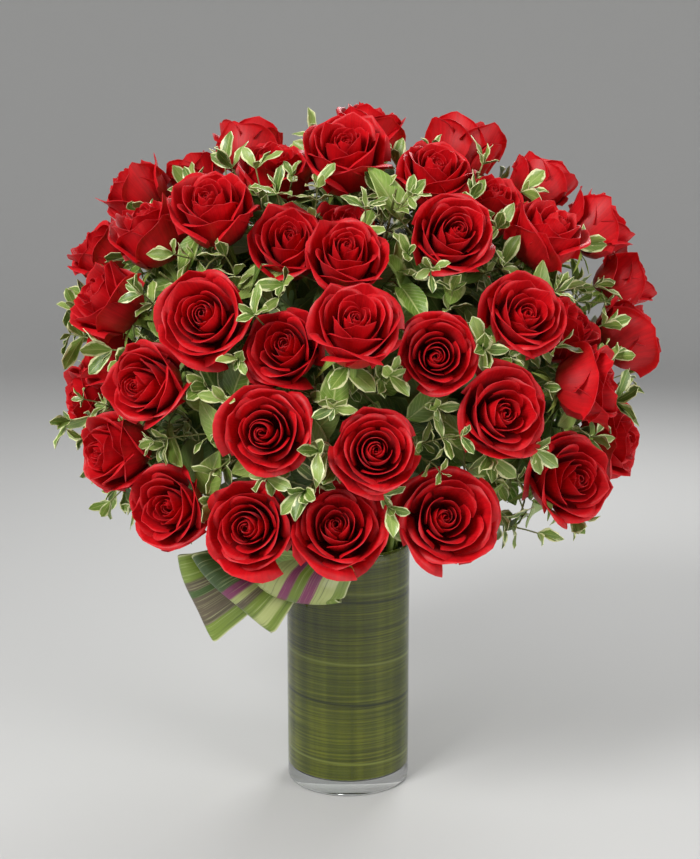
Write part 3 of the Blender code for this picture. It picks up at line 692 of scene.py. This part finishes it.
# kind: (three greens, rib, margin, where the margin starts, roughness, height of the ribs in metres)
LEAF_LOOKS = {
    "pittosporum": (("#4F6B26", "#6E8A38", "#93A954"), "#A6B566", "#DDE0A8", 0.76, 0.36, 0.0003),
    "salal": (("#567528", "#75933A", "#95AB56"), "#B4C078", "#B4C27C", 0.96, 0.36, 0.0005),
    "rose_leaf": (("#3F5C1C", "#57762A", "#728E40"), "#92A458", "#7E9348", 1.0, 0.5, 0.0005),
    "sepal": (("#65802F", "#7F983D", "#9BAE50"), "#ABB85F", "#A0B05C", 1.0, 0.5, 0.0003),
}
NAMES = ("pittosporum_leaf", "salal_leaf", "rose_leaf", "sepal_skin")
FINISHES = {kind: leaf_finish(name, *look) for name, (kind, look) in zip(NAMES, LEAF_LOOKS.items())}

# %% [markdown]
# ## Placing greenery so that it fills gaps
#
# A florist pushes leafy branches into the gaps between the blooms. So does this: every leaf is first tried
# in place, and if it would enter a bloom it is tilted or made smaller, and left out if nothing helps.

# %% Room between the blooms
MIDDLES = np.array([rose.middle for rose in roses])
REACHES = np.array([rose.reach for rose in roses])
HEART = Vector((0, 0, 0.42))
DOME = Vector((0.275, 0.235, 0.235))
VASE_RADIUS, _, VASE_HEIGHT = (round(side, 4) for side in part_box("vase")[1])
LEAF_TRIES = ((0.0, 1.0), (0.4, 1.0), (-0.4, 0.95), (0.75, 0.85), (0.0, 0.72), (-0.7, 0.7))


def room(points):
    """How far the nearest bloom is from the nearest of these points. It is negative inside a bloom."""
    gaps = np.linalg.norm(np.atleast_2d(points)[:, None] - MIDDLES[None], axis=2) - REACHES
    return gaps.min()


def within(points):
    """Whether points stay inside the solid model's box, and out of the vase's wall."""
    low, high = np.array(cad_box[0]) - 5 * MM, np.array(cad_box[1]) + 8 * MM
    points = np.atleast_2d(points)
    flat = np.linalg.norm(points[:, :2], axis=1)
    by_vase = (points[:, 2] < VASE_HEIGHT + 6 * MM) & (flat < VASE_RADIUS + 6 * MM)
    return bool((points > low).all() and (points < high).all() and not by_vase.any())


class Spray:
    """Leaves of one kind and the twigs under them, placed first and grown together afterwards."""

    def __init__(self, name, kind):
        self.name, self.kind = name, kind
        self.places, self.turns, self.sizes = [], [], []
        self.lines, self.thick = [], []

    def leaf(self, base, along, face, length, gap=2.0 * MM):
        """Adds a leaf along one direction, with its upper side to another, where there is room."""
        side = along.cross(face).normalized()
        half = WIDTHS[self.kind] / 2
        for tilt, share in LEAF_TRIES:
            out = Matrix.Rotation(tilt, 3, side) @ along
            up = side.cross(out)
            reach = length * share
            probe = [base + out * reach * s for s in (0.4, 0.75, 1.0)]
            probe += [base + out * reach * 0.5 + side * half * reach * s for s in (-0.9, 0.9)]
            if room(probe) > gap and within(probe):
                turn = Matrix((side, out, up)).transposed().to_euler()
                self.places.append(base)
                self.turns.append(tuple(turn))
                self.sizes.append(reach)
                return True
        return False

    def twig(self, line, start, end):
        self.lines.append(np.array(line))
        self.thick.append(np.linspace(start, end, len(line)))

    def grow(self, seed, spread=0.12):
        """Turns the spray into one mesh."""
        source = new_mesh(self.name + "_leaves", self.places, turn=self.turns, grow=self.sizes)
        first, second, third = SHAPES[self.kind]
        finish = FINISHES[self.kind]
        kinds = {"First": first, "Second": second, "Third": third}
        parts = [grown(source, leaf_growth, **kinds, Spread=spread, Seed=seed, Finish=finish)]
        if self.lines:
            parts.append(stems(self.name + "_twigs", self.lines, self.thick, 6, twig_bark))
        return joined(self.name, parts)


# %% Sepals under every bloom, and the finished rose stems
for rose in roses:
    chance = np.random.default_rng(40 + rose.number)
    sepals = Spray(f"sepals_{rose.number:02d}", "sepal")
    turned = facing(rose.look, chance.uniform(0, 6.3))
    for i in range(5):
        angle = 2 * math.pi * i / 5 + chance.uniform(-0.2, 0.2)
        outward = turned @ Vector((math.cos(angle), math.sin(angle), 0))
        droop = chance.uniform(-0.9, 0.15)
        along = (outward + rose.look * droop).normalized()
        face = (rose.look - outward * droop).normalized()
        length = chance.uniform(24, 32) * MM * rose.size
        base = rose.neck + rose.look * 1.5 * MM + outward * 5.5 * MM * rose.size
        turn = Matrix((along.cross(face), along, face)).transposed().to_euler()
        sepals.places.append(base)
        sepals.turns.append(tuple(turn))
        sepals.sizes.append(length)
    stem = stems("stem", [rose.run], [rose.thickness], STEM_SIDES, rose_stem_skin)
    piece = joined(f"stem_{rose.number:02d}", [stem, sepals.grow(rose.number)])
    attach(piece, "root")
print("stems with sepals:", triangles(piece), "triangles each")

# %% [markdown]
# ## Branches that the solids show
#
# Five leafy branches are solids. Their leaves meet in a point at the tip, where just four edges run
# together, so the tips are easy to find. From each tip the walk goes down the leaf to its twig, which gives
# the leaf's line, width and facing. The same leaves are then grown again with real outlines and finishes.

# %% Read the branches and grow them again
LEAF_RINGS = 5


def read_branch(name):
    """The leaves of a branch solid as (root, tip, side), and the line of its twig."""
    points, _, beside = welded(nodes[name])
    found, taken = [], set()
    for tip in (i for i, near in enumerate(beside) if len(near) == 4):
        rings = levels(beside, [tip])[:LEAF_RINGS]
        if any(len(ring) != 4 for ring in rings[1:]):
            continue
        widest = points[rings[3]]
        spans = widest[:, None] - widest[None]
        i, j = np.unravel_index(np.argmax(np.linalg.norm(spans, axis=2)), (4, 4))
        root = points[rings[4]].mean(axis=0)
        found.append((Vector(root), Vector(points[tip]), Vector(spans[i, j]).normalized()))
        taken |= {p for ring in rings for p in ring}
    foot = min((i for i in range(len(points)) if i not in taken), key=lambda i: points[i, 2])
    line = [points[ring].mean(axis=0) for ring in levels(beside, [foot], taken)]
    return found, line


for name in BRANCH_NODES:
    found, line = read_branch(name)
    kind = name.split("_")[0]
    spray = Spray(name.replace("branch", "spray"), kind)
    for root, tip, side in found:
        along = (tip - root).normalized()
        face = side.cross(along).normalized()
        if face.dot(root - HEART) < 0 and face.z < 0:
            face = -face
        spray.leaf(root - along * 4 * MM, along, face, (tip - root).length * 1.1, gap=0.5 * MM)
    spray.twig(smooth_line(line, 30), 2.2 * MM, 1.1 * MM)
    piece = spray.grow(len(found))
    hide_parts(name)
    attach(piece, "root")
    print(piece.name, len(spray.places), "of", len(found), "leaves")

# %% [markdown]
# ## Pittosporum in the gaps
#
# Directions spread evenly over the dome by the golden angle give places for the sprig tips. A tip is kept
# where the blooms leave room. Each twig leaves the nearest stem, bends up to its tip, and carries whorls of
# leaves round its last stretch, with the upper sides turned to the tip as they are in life.

# %% Sprigs
STEM_POINTS = np.concatenate([rose.run[6:-8] for rose in roses])
STEM_AHEAD = np.concatenate([np.gradient(rose.run, axis=0)[6:-8] for rose in roses])


def nearest_stem(place):
    """The stem point closest to a place, and the stem's direction there."""
    i = int(np.argmin(np.linalg.norm(STEM_POINTS - np.array(place), axis=1)))
    return Vector(STEM_POINTS[i]), Vector(STEM_AHEAD[i]).normalized()


def bent(a, b, c, d, count):
    t = np.linspace(0, 1, count)[:, None]
    a, b, c, d = (np.array(p) for p in (a, b, c, d))
    return (1 - t) ** 3 * a + 3 * t * (1 - t) ** 2 * b + 3 * t**2 * (1 - t) * c + t**3 * d


def spread_directions(count, lowest):
    """Directions spread evenly over the ball, from straight up down to the lowest height."""
    for i in range(count):
        z = 1 - (1 - lowest) * (i + 0.5) / count
        flat = math.sqrt(max(0.0, 1 - z * z))
        yield Vector((flat * math.cos(i * GOLDEN_ANGLE), flat * math.sin(i * GOLDEN_ANGLE), z))


def sprig(spray, tip, heading, leaf, whorls, chance, back=0.085):
    """One twig with whorls of leaves round its last stretch."""
    start, ahead = nearest_stem(tip - heading * back + Vector((0, 0, -0.02)))
    span = (tip - start).length
    line = bent(start, start + ahead * span * 0.35, tip - heading * span * 0.4, tip, 12)
    spray.twig(line, 1.3 * MM, 0.7 * MM)
    at, aim = Vector(tip), Vector(line[-1] - line[-2]).normalized()
    turn = chance.uniform(0, 6.3)
    for whorl in range(whorls):
        number = int(chance.integers(3, 6)) if whorl == 0 else int(chance.integers(2, 4))
        across = aim.orthogonal().normalized()
        for i in range(number):
            angle = turn + 2 * math.pi * i / number + chance.uniform(-0.55, 0.55)
            outward = Matrix.Rotation(angle, 3, aim) @ across
            lean = chance.uniform(0.2, 1.1) if whorl == 0 else chance.uniform(0.6, 1.5)
            along = (aim * math.cos(lean) + outward * math.sin(lean)).normalized()
            face = (aim + Vector(chance.uniform(-0.5, 0.5, 3))).normalized()
            face = (face - along * face.dot(along)).normalized()
            spray.leaf(at, along, face, leaf * chance.uniform(0.6, 1.2))
        step = chance.uniform(10, 17) * MM
        back_at = min(11, 1 + int((whorl + 1) * step / max(span, 0.05) * 11))
        at = Vector(line[11 - back_at])
        aim = Vector(line[11 - back_at + 1] - line[11 - back_at]).normalized()
        turn += 1.1


def side_of(place):
    """Which quarter of the bouquet a place is in."""
    angle = math.degrees(math.atan2(place[0], -place[1]))
    return "front" if abs(angle) < 45 else "back" if abs(angle) > 135 else "right" if angle > 0 else "left"


QUARTERS = ("front", "right", "back", "left")
sprays = {side: Spray("pittosporum_" + side, "pittosporum") for side in QUARTERS}
tips = []
chance = np.random.default_rng(11)
for direction in spread_directions(900, -0.52):
    reach = chance.uniform(0.90, 1.04)
    tip = HEART + direction * DOME * reach
    apart = min(((tip - other).length for other in tips), default=1)
    if apart < 0.034 or room(tip) < 5 * MM or not within(tip):
        continue
    tips.append(tip)
    heading = (direction + Vector(chance.uniform(-0.35, 0.35, 3))).normalized()
    whorls = int(chance.integers(3, 6))
    sprig(sprays[side_of(tip)], tip, heading, chance.uniform(20, 31) * MM, whorls, chance)
print(len(tips), "sprigs,", sum(len(s.places) for s in sprays.values()), "pittosporum leaves")

# %% [markdown]
# ## Broad leaves deeper in
#
# Under the blooms, salal and the roses' own leaves close the bouquet, so that no light comes through it.
# They grow from the stems at three depths. Each faces outwards, with its tip turned a little up or to one
# side.

# %% Salal and rose leaves
broad = {(side, kind): Spray(f"{kind}_{side}", kind) for side in QUARTERS for kind in ("salal", "rose_leaf")}
for depth, count, kind, low, high in (
    (0.90, 230, "salal", 42, 58),
    (0.78, 240, "rose_leaf", 44, 60),
    (0.62, 200, "rose_leaf", 50, 68),
    (0.45, 130, "rose_leaf", 54, 72),
    (0.28, 50, "rose_leaf", 48, 60),
):
    for direction in spread_directions(count, -0.62):
        place = HEART + direction * DOME * (depth + chance.uniform(-0.06, 0.06))
        if room(place) < -4 * MM or not within(place):
            continue
        sideways = direction.orthogonal().normalized()
        along = Matrix.Rotation(chance.uniform(0, 6.3), 3, direction) @ sideways
        along = (along + direction * chance.uniform(-0.1, 0.8) + Vector((0, 0, 0.25))).normalized()
        length = chance.uniform(low, high) * MM
        face = (direction - along * direction.dot(along)).normalized()
        base = place - along * length * 0.5
        spray = broad[side_of(place), kind]
        if spray.leaf(base, along, face, length, gap=1.0 * MM):
            start, ahead = nearest_stem(base)
            span = (base - start).length
            into = base - along * span * 0.3
            line = bent(start, start + ahead * span * 0.4, into, base + along * 4 * MM, 7)
            spray.twig(line, 1.1 * MM, 0.8 * MM)

for seed, spray in enumerate([*sprays.values(), *broad.values()]):
    if not spray.places:
        continue
    piece = spray.grow(seed)
    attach(piece, "root")
    print(piece.name, len(spray.places), "leaves,", triangles(piece), "triangles")

# %% [markdown]
# ## Folded strap leaves over the rim
#
# Three ti leaves hang over the rim, folded over so that each shows a band with a soft fold at its end. The
# solid has nine flat cross sections, each with four corners. A smooth surface through them gives a thin
# leaf with a slight arch across it, and the stripes run along the leaf because its finish reads how far
# across each point lies.

# %% Ribbons through the solid's sections
TI_SECTIONS = 9


def read_strap(name):
    """The middle and the half width of each cross section of a strap leaf, from inside the vase outwards."""
    points, _, beside = welded(nodes[name])
    flat = np.linalg.norm(points[:, :2], axis=1)
    inside = [i for i in range(len(points)) if flat[i] < 0.056 and points[i, 2] < 0.215]
    middles, halves = [], []
    for ring in levels(beside, inside):
        spans = points[ring][:, None] - points[ring][None]
        i, j = np.unravel_index(np.argmax(np.linalg.norm(spans, axis=2)), (len(ring), len(ring)))
        half = spans[i, j] / 2
        if halves and half @ halves[-1] < 0:
            half = -half
        middles.append(points[ring].mean(axis=0))
        halves.append(half)
    return np.array(middles), np.array(halves)


def strap(name, arch, rounded, finish, rows=60, columns=15):
    """A smooth thin leaf through the solid's sections. Rounded pulls in its corners at the fold."""
    middles, halves = read_strap(name)
    s = np.linspace(0, 1, rows)
    centre, half = through(middles, s)[:, None], through(halves, s)[:, None]
    ahead = np.gradient(centre[:, 0], axis=0)[:, None]
    up = np.cross(half, ahead)
    up /= np.linalg.norm(up, axis=2, keepdims=True) + 1e-9
    u = np.linspace(-1, 1, columns)[None, :, None]
    wide = np.linalg.norm(half, axis=2, keepdims=True)
    near_fold = np.exp(-(((s - 5 / (TI_SECTIONS - 1)) / 0.05) ** 2))[:, None, None]
    pulled = rounded * near_fold * u**2 * np.sign(u) * np.abs(u)
    ripple = 0.02 * wide * np.sin(9 * s[:, None, None] + 4 * u)
    grid = centre + half * (u - pulled) + up * (arch * wide * (1 - u**2) + ripple)
    skin, quads = thin_leaf(grid, 0.6 * MM)
    blade = np.stack(np.broadcast_arrays(u[..., 0], s[:, None], 0.0), axis=-1).reshape(-1, 3)
    name = name.replace("ti_leaf", "strap_leaf")
    return new_mesh(name, skin, quads, finish, 60, blade=np.tile(blade, (2, 1)))


# %% [markdown]
# ### Striped strap leaf
#
# A ti leaf is smooth and leathery. Its colours run lengthwise in bands with soft edges, each made of finer
# lines about a millimetre wide: green, cream green, and a purple pink. Each of the three has its own order of
# bands. A thin pale band along both edges is a painted highlight, as the rolled edges catch the light.


# %% The striped finishes
def striped(name, bands):
    """Bands across the leaf, as (start from 0 to 1, colour), drawn apart by lines about a millimetre wide."""
    made, tree, shader = new_material(name)
    blade = add(tree, "ShaderNodeAttribute", attribute_name="blade").outputs["Vector"]
    drawn = add(tree, "ShaderNodeMapping", {"Vector": blade, "Scale": (22.0, 1.6, 1.0)})
    noise = {"Vector": drawn, "Scale": 1.0, "Detail": 4.0, "Roughness": 0.65}
    lines = add(tree, "ShaderNodeTexNoise", noise).outputs["Fac"]
    across = add(tree, "ShaderNodeSeparateXYZ", {0: blade}).outputs["X"]
    wander = add(tree, "ShaderNodeMath", {0: lines, 1: 0.16, 2: across}, operation="MULTIPLY_ADD")
    share = add(tree, "ShaderNodeMapRange", {"Value": wander, "From Min": -0.92, "From Max": 1.08})
    starts = [start for start, _ in bands[1:]] + [1.0]
    stops = []
    for (start, shade), end in zip(bands, starts):
        stops += [(start + 0.008, shade), (end - 0.008, shade)]
    painted = ramp(tree, share, *stops)
    pale = {"Value": lines, "From Min": 0.54, "From Max": 0.66, "To Max": 0.55}
    dark = {"Value": lines, "From Min": 0.46, "From Max": 0.34, "To Max": 0.6}
    pale, dark = add(tree, "ShaderNodeMapRange", pale), add(tree, "ShaderNodeMapRange", dark)
    lit = add(tree, "ShaderNodeMix", {"Factor": pale, 6: painted, 7: colour("#C3CB92")}, data_type="RGBA")
    lined = add(tree, "ShaderNodeMix", {"Factor": dark, 6: lit, 7: colour("#3C4C26")}, data_type="RGBA")
    # painted highlight: a pale band along both edges of the leaf, where its rolled edge would catch the light
    aside = add(tree, "ShaderNodeMath", {0: across}, operation="ABSOLUTE")
    rim = add(tree, "ShaderNodeMapRange", {"Value": aside, "From Min": 0.955, "From Max": 0.985})
    rim_highlighted = add(tree, "ShaderNodeMix", {"Factor": rim, 6: lined, 7: colour("#C6CB96")}, data_type="RGBA")
    tree.links.new(rim_highlighted.outputs[2], shader.inputs["Base Color"])
    shader.inputs["Roughness"].default_value = 0.36
    bump = add(tree, "ShaderNodeBump", {"Strength": 0.4, "Distance": 0.0004, "Height": lines})
    tree.links.new(bump.outputs[0], shader.inputs["Normal"])
    return made


GREEN, DEEP, BROWN, PURPLE, CREAM = "#7A9038", "#46602F", "#655A48", "#8C4068", "#B6C07A"
BACK = ((0.0, GREEN), (0.2, BROWN), (0.52, DEEP), (0.60, BROWN), (0.70, GREEN))
MIDDLE = ((0.0, GREEN), (0.10, CREAM), (0.22, GREEN), (0.34, BROWN))
MIDDLE += ((0.42, CREAM), (0.48, PURPLE), (0.58, DEEP))
FRONT = ((0.0, GREEN), (0.12, CREAM), (0.30, PURPLE), (0.42, GREEN), (0.52, PURPLE))
FRONT += ((0.61, CREAM), (0.82, GREEN), (0.9, CREAM))
# name: (arch across the leaf, how round its fold's corners are, bands)
STRAPS = {
    "ti_leaf_back": (0.08, 0.05, BACK),
    "ti_leaf_middle": (0.10, 0.05, MIDDLE),
    "ti_leaf_front": (0.30, 0.16, FRONT),
}
for name, (arch, rounded, bands) in STRAPS.items():
    piece = strap(name, arch, rounded, striped(name.replace("ti_leaf", "striped_leaf"), bands))
    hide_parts(name)
    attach(piece, "root")

# %% [markdown]
# ## The leaf lining
#
# The lining leaves lie flat against the glass, so their solids already have the right shape and stay as they
# are. The look is in the finish: veins that run level round the vase about a millimetre apart, a pale midrib
# on each leaf, a painted shadow line where one leaf covers the next, and broad soft upright streaks of
# lighter and darker green.

# %% Wound leaves behind the glass
lining_leaf, tree, shader = new_material("wound_leaf")
place = add(tree, "ShaderNodeTexCoord").outputs["Object"]
level = add(tree, "ShaderNodeMapping", {"Vector": place, "Scale": (9.0, 9.0, 900.0)})
veins = add(tree, "ShaderNodeTexNoise", {"Vector": level, "Scale": 1.0, "Detail": 3.0}).outputs["Fac"]
# broad soft upright streaks of lighter and darker green, mixed into the level veins
upright = add(tree, "ShaderNodeMapping", {"Vector": place, "Scale": (80.0, 80.0, 1.6)})
streaks = add(tree, "ShaderNodeTexNoise", {"Vector": upright, "Scale": 1.0, "Detail": 4.0}).outputs["Fac"]
mixed = add(tree, "ShaderNodeMix", {"Factor": 0.45, 2: veins, 3: streaks}, data_type="FLOAT")
body = ramp(tree, mixed, (0.34, "#434B04"), (0.5, "#646C0A"), (0.64, "#8A9016"))
apart = add(tree, "ShaderNodeSeparateXYZ", {0: place})
tilt = {0: apart.outputs["X"], 1: 0.05, 2: apart.outputs["Z"]}
tilted = add(tree, "ShaderNodeMath", tilt, operation="MULTIPLY_ADD")
height = add(tree, "ShaderNodeMath", {0: tilted, 1: VASE_HEIGHT}, operation="DIVIDE")
# the second set of heights, in mm, is where painted shadow lines fall under the edge of the leaf that covers
# the next
RIBS, OVERLAP_SHADOW_HEIGHTS = (34, 140, 214), (97, 205)  # heights of the pale midribs and the dark leaf edges in mm
tall = VASE_HEIGHT / MM
rib_stops, overlap_shadow_stops = [(0.0, "#000000")], [(0.0, "#000000")]
for at in (rib / tall for rib in RIBS):
    rib_stops += [(at - 0.009, "#000000"), (at, "#E0E0E0"), (at + 0.007, "#000000")]
for at in (edge / tall for edge in OVERLAP_SHADOW_HEIGHTS):
    overlap_shadow_stops += [(at - 0.007, "#000000"), (at, "#FFFFFF"), (at + 0.012, "#000000")]
ribs, edges = ramp(tree, height, *rib_stops), ramp(tree, height, *overlap_shadow_stops)
ribbed = add(tree, "ShaderNodeMix", {"Factor": ribs, 6: body, 7: colour("#A2AE48")}, data_type="RGBA")
# painted shadow: a dark line at each height where one leaf's edge covers the next
lined = add(tree, "ShaderNodeMix", {"Factor": edges, 6: ribbed, 7: colour("#2C380F")}, data_type="RGBA")
tree.links.new(lined.outputs[2], shader.inputs["Base Color"])
shader.inputs["Roughness"].default_value = 0.55
shader.inputs["Specular IOR Level"].default_value = 0.15
bump = add(tree, "ShaderNodeBump", {"Strength": 0.3, "Distance": 0.0003, "Height": veins})
tree.links.new(bump.outputs[0], shader.inputs["Normal"])
for name in LINING_NODES:
    for slot in nodes[name].material_slots:
        slot.material = lining_leaf
print("wound leaf on", len(LINING_NODES), "lining leaves")

# %% [markdown]
# ## The glass cylinder
#
# The vase was blown into a straight mould: a wall of even thickness, a heavy floor that gathers light into
# bright rings, and a rim and a foot that the flame rounded. A profile turned round the axis has all of
# that. It is drawn finer than the solid, so the glass bends light smoothly.

# %% Turn the vase's profile
# millimetres; wet leaves cling to the glass, so its wall is drawn in up to their inner face
VASE_WALL, VASE_FLOOR = 5.9, 14.0
TURNS = 128
outside, tall = VASE_RADIUS / MM, VASE_HEIGHT / MM
inside = outside - VASE_WALL
VASE_PROFILE = [(0, 0.6), (30, 0.5), (54, 0.1), (outside - 2.2, 0.0), (outside - 0.6, 0.6), (outside, 2.2)]
VASE_PROFILE += [(outside, 2.2 + (tall - 4.4) * i / 8) for i in range(1, 9)]
rim_arc = [math.radians(a) for a in (30, 60, 90, 120, 150, 180)]
VASE_PROFILE += [(outside - 2 + 2 * math.cos(a), tall - 2 + 2 * math.sin(a)) for a in rim_arc]
VASE_PROFILE += [(inside, VASE_FLOOR + 4 + (tall - VASE_FLOOR - 6) * i / 8) for i in range(7, -1, -1)]
VASE_PROFILE += [(inside - 0.6, VASE_FLOOR + 1.6), (inside - 2.4, VASE_FLOOR + 0.4)]
VASE_PROFILE += [(40, VASE_FLOOR), (0, VASE_FLOOR)]


def turned_profile(name, outline, finish):
    """A closed body turned round the Z axis, from a profile that starts and ends on it."""
    angles = np.linspace(0, 2 * math.pi, TURNS, endpoint=False)
    middle = outline[1:-1]
    rings = [[(r * math.cos(a) * MM, r * math.sin(a) * MM, z * MM) for a in angles] for r, z in middle]
    points = [(0, 0, outline[0][1] * MM), *[p for ring in rings for p in ring], (0, 0, outline[-1][1] * MM)]
    last = len(points) - 1
    faces = [(0, 1 + (i + 1) % TURNS, 1 + i) for i in range(TURNS)]
    for ring in range(len(middle) - 1):
        low, high = 1 + ring * TURNS, 1 + (ring + 1) * TURNS
        faces += [(low + i, low + (i + 1) % TURNS, high + (i + 1) % TURNS, high + i) for i in range(TURNS)]
    top = 1 + (len(middle) - 1) * TURNS
    faces += [(last, top + i, top + (i + 1) % TURNS) for i in range(TURNS)]
    return new_mesh(name, points, faces, finish, 40)


# %% [markdown]
# ### Soda-lime glass
#
# Clear glass has no colour of its own here. What makes it glass is its refraction, at an index of 1.5, and
# the gloss of its fired surface. A faint unevenness, as blown glass has, keeps the highlights from looking
# machined.

# %% Glass, and the vase
clear_glass, tree, shader = new_material("soda_lime_glass")
place = add(tree, "ShaderNodeTexCoord").outputs["Object"]
uneven = add(tree, "ShaderNodeTexNoise", {"Vector": place, "Scale": 22.0, "Detail": 2.0}).outputs["Fac"]
tint = ramp(tree, uneven, (0.3, "#F4FAF6"), (0.7, "#FFFFFF"))
tree.links.new(tint, shader.inputs["Base Color"])
smear = add(tree, "ShaderNodeMapRange", {"Value": uneven, "To Min": 0.0, "To Max": 0.03})
tree.links.new(smear.outputs[0], shader.inputs["Roughness"])
shader.inputs["Transmission Weight"].default_value = 1.0
shader.inputs["IOR"].default_value = 1.5
bump = add(tree, "ShaderNodeBump", {"Strength": 0.05, "Distance": 0.0005, "Height": uneven})
tree.links.new(bump.outputs[0], shader.inputs["Normal"])
piece = turned_profile("glass_cylinder", VASE_PROFILE, clear_glass)
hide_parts("vase")
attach(piece, "root")
print("glass cylinder:", triangles(piece), "triangles")

# %% Stage, light and camera
# the floor sweeps up into a plain wall, in metres: how far it is flat, the sweep's radius, the wall's
# height
FLOOR_REACH, SWEEP, SWEEP_HEIGHT = 3.0, 1.6, 3.2
bowl = [(0, 0), (FLOOR_REACH, 0)]
turned_up = np.linspace(0, math.pi / 2, 17)[1:]
bowl += [(FLOOR_REACH + SWEEP * math.sin(a), SWEEP * (1 - math.cos(a))) for a in turned_up]
bowl += [(FLOOR_REACH + SWEEP, SWEEP_HEIGHT)]
sides = np.linspace(0, 2 * math.pi, 97)[:-1]
points = [(r * math.cos(a), r * math.sin(a), z) for r, z in bowl[1:] for a in sides]
faces = [tuple(range(len(sides)))]
for ring in range(len(bowl) - 2):
    low, high = ring * len(sides), (ring + 1) * len(sides)
    for i in range(len(sides)):
        after = (i + 1) % len(sides)
        faces.append((low + i, high + i, high + after, low + after))
floor = new_mesh("floor", points, faces, None, 60)
floor_paint, tree, shader = new_material("pale_floor")
shader.inputs["Base Color"].default_value = colour("#C9C9C7")
shader.inputs["Roughness"].default_value = 0.7
floor.data.materials.append(floor_paint)

world = bpy.data.worlds.new("studio")
world.use_nodes = True
world.node_tree.nodes["Background"].inputs["Color"].default_value = colour("#DDDDE0")
world.node_tree.nodes["Background"].inputs["Strength"].default_value = 0.48
bpy.context.scene.world = world
bpy.context.scene.view_settings.view_transform = "Standard"


def area_light(name, place, target, width, power):
    lamp = bpy.data.lights.new(name, "AREA")
    lamp.shape = "SQUARE"
    lamp.size = width
    lamp.energy = power
    made = bpy.data.objects.new(name, lamp)
    made.location = place
    made.rotation_euler = (Vector(target) - Vector(place)).to_track_quat("-Z", "Y").to_euler()
    bpy.context.scene.collection.objects.link(made)


area_light("key", (-1.3, -1.6, 1.9), (0, 0, 0.4), 0.9, 60)
area_light("fill", (1.8, -1.4, 0.9), (0, 0, 0.4), 1.2, 24)
area_light("rim", (0.6, 1.6, 1.6), (0, 0, 0.5), 0.8, 20)

camera = bpy.data.cameras.new("camera")
camera.lens = 61.4
camera.sensor_width = 36
viewer = bpy.data.objects.new("camera", camera)
viewer.location = (0.002, -1.459, 0.653)
viewer.rotation_euler = (math.radians(79), 0, 0)
bpy.context.scene.collection.objects.link(viewer)
bpy.context.scene.camera = viewer

# %% Take away the leaf shapes that the trees copied
for shapes in SHAPES.values():
    for shape in shapes:
        bpy.data.objects.remove(shape)
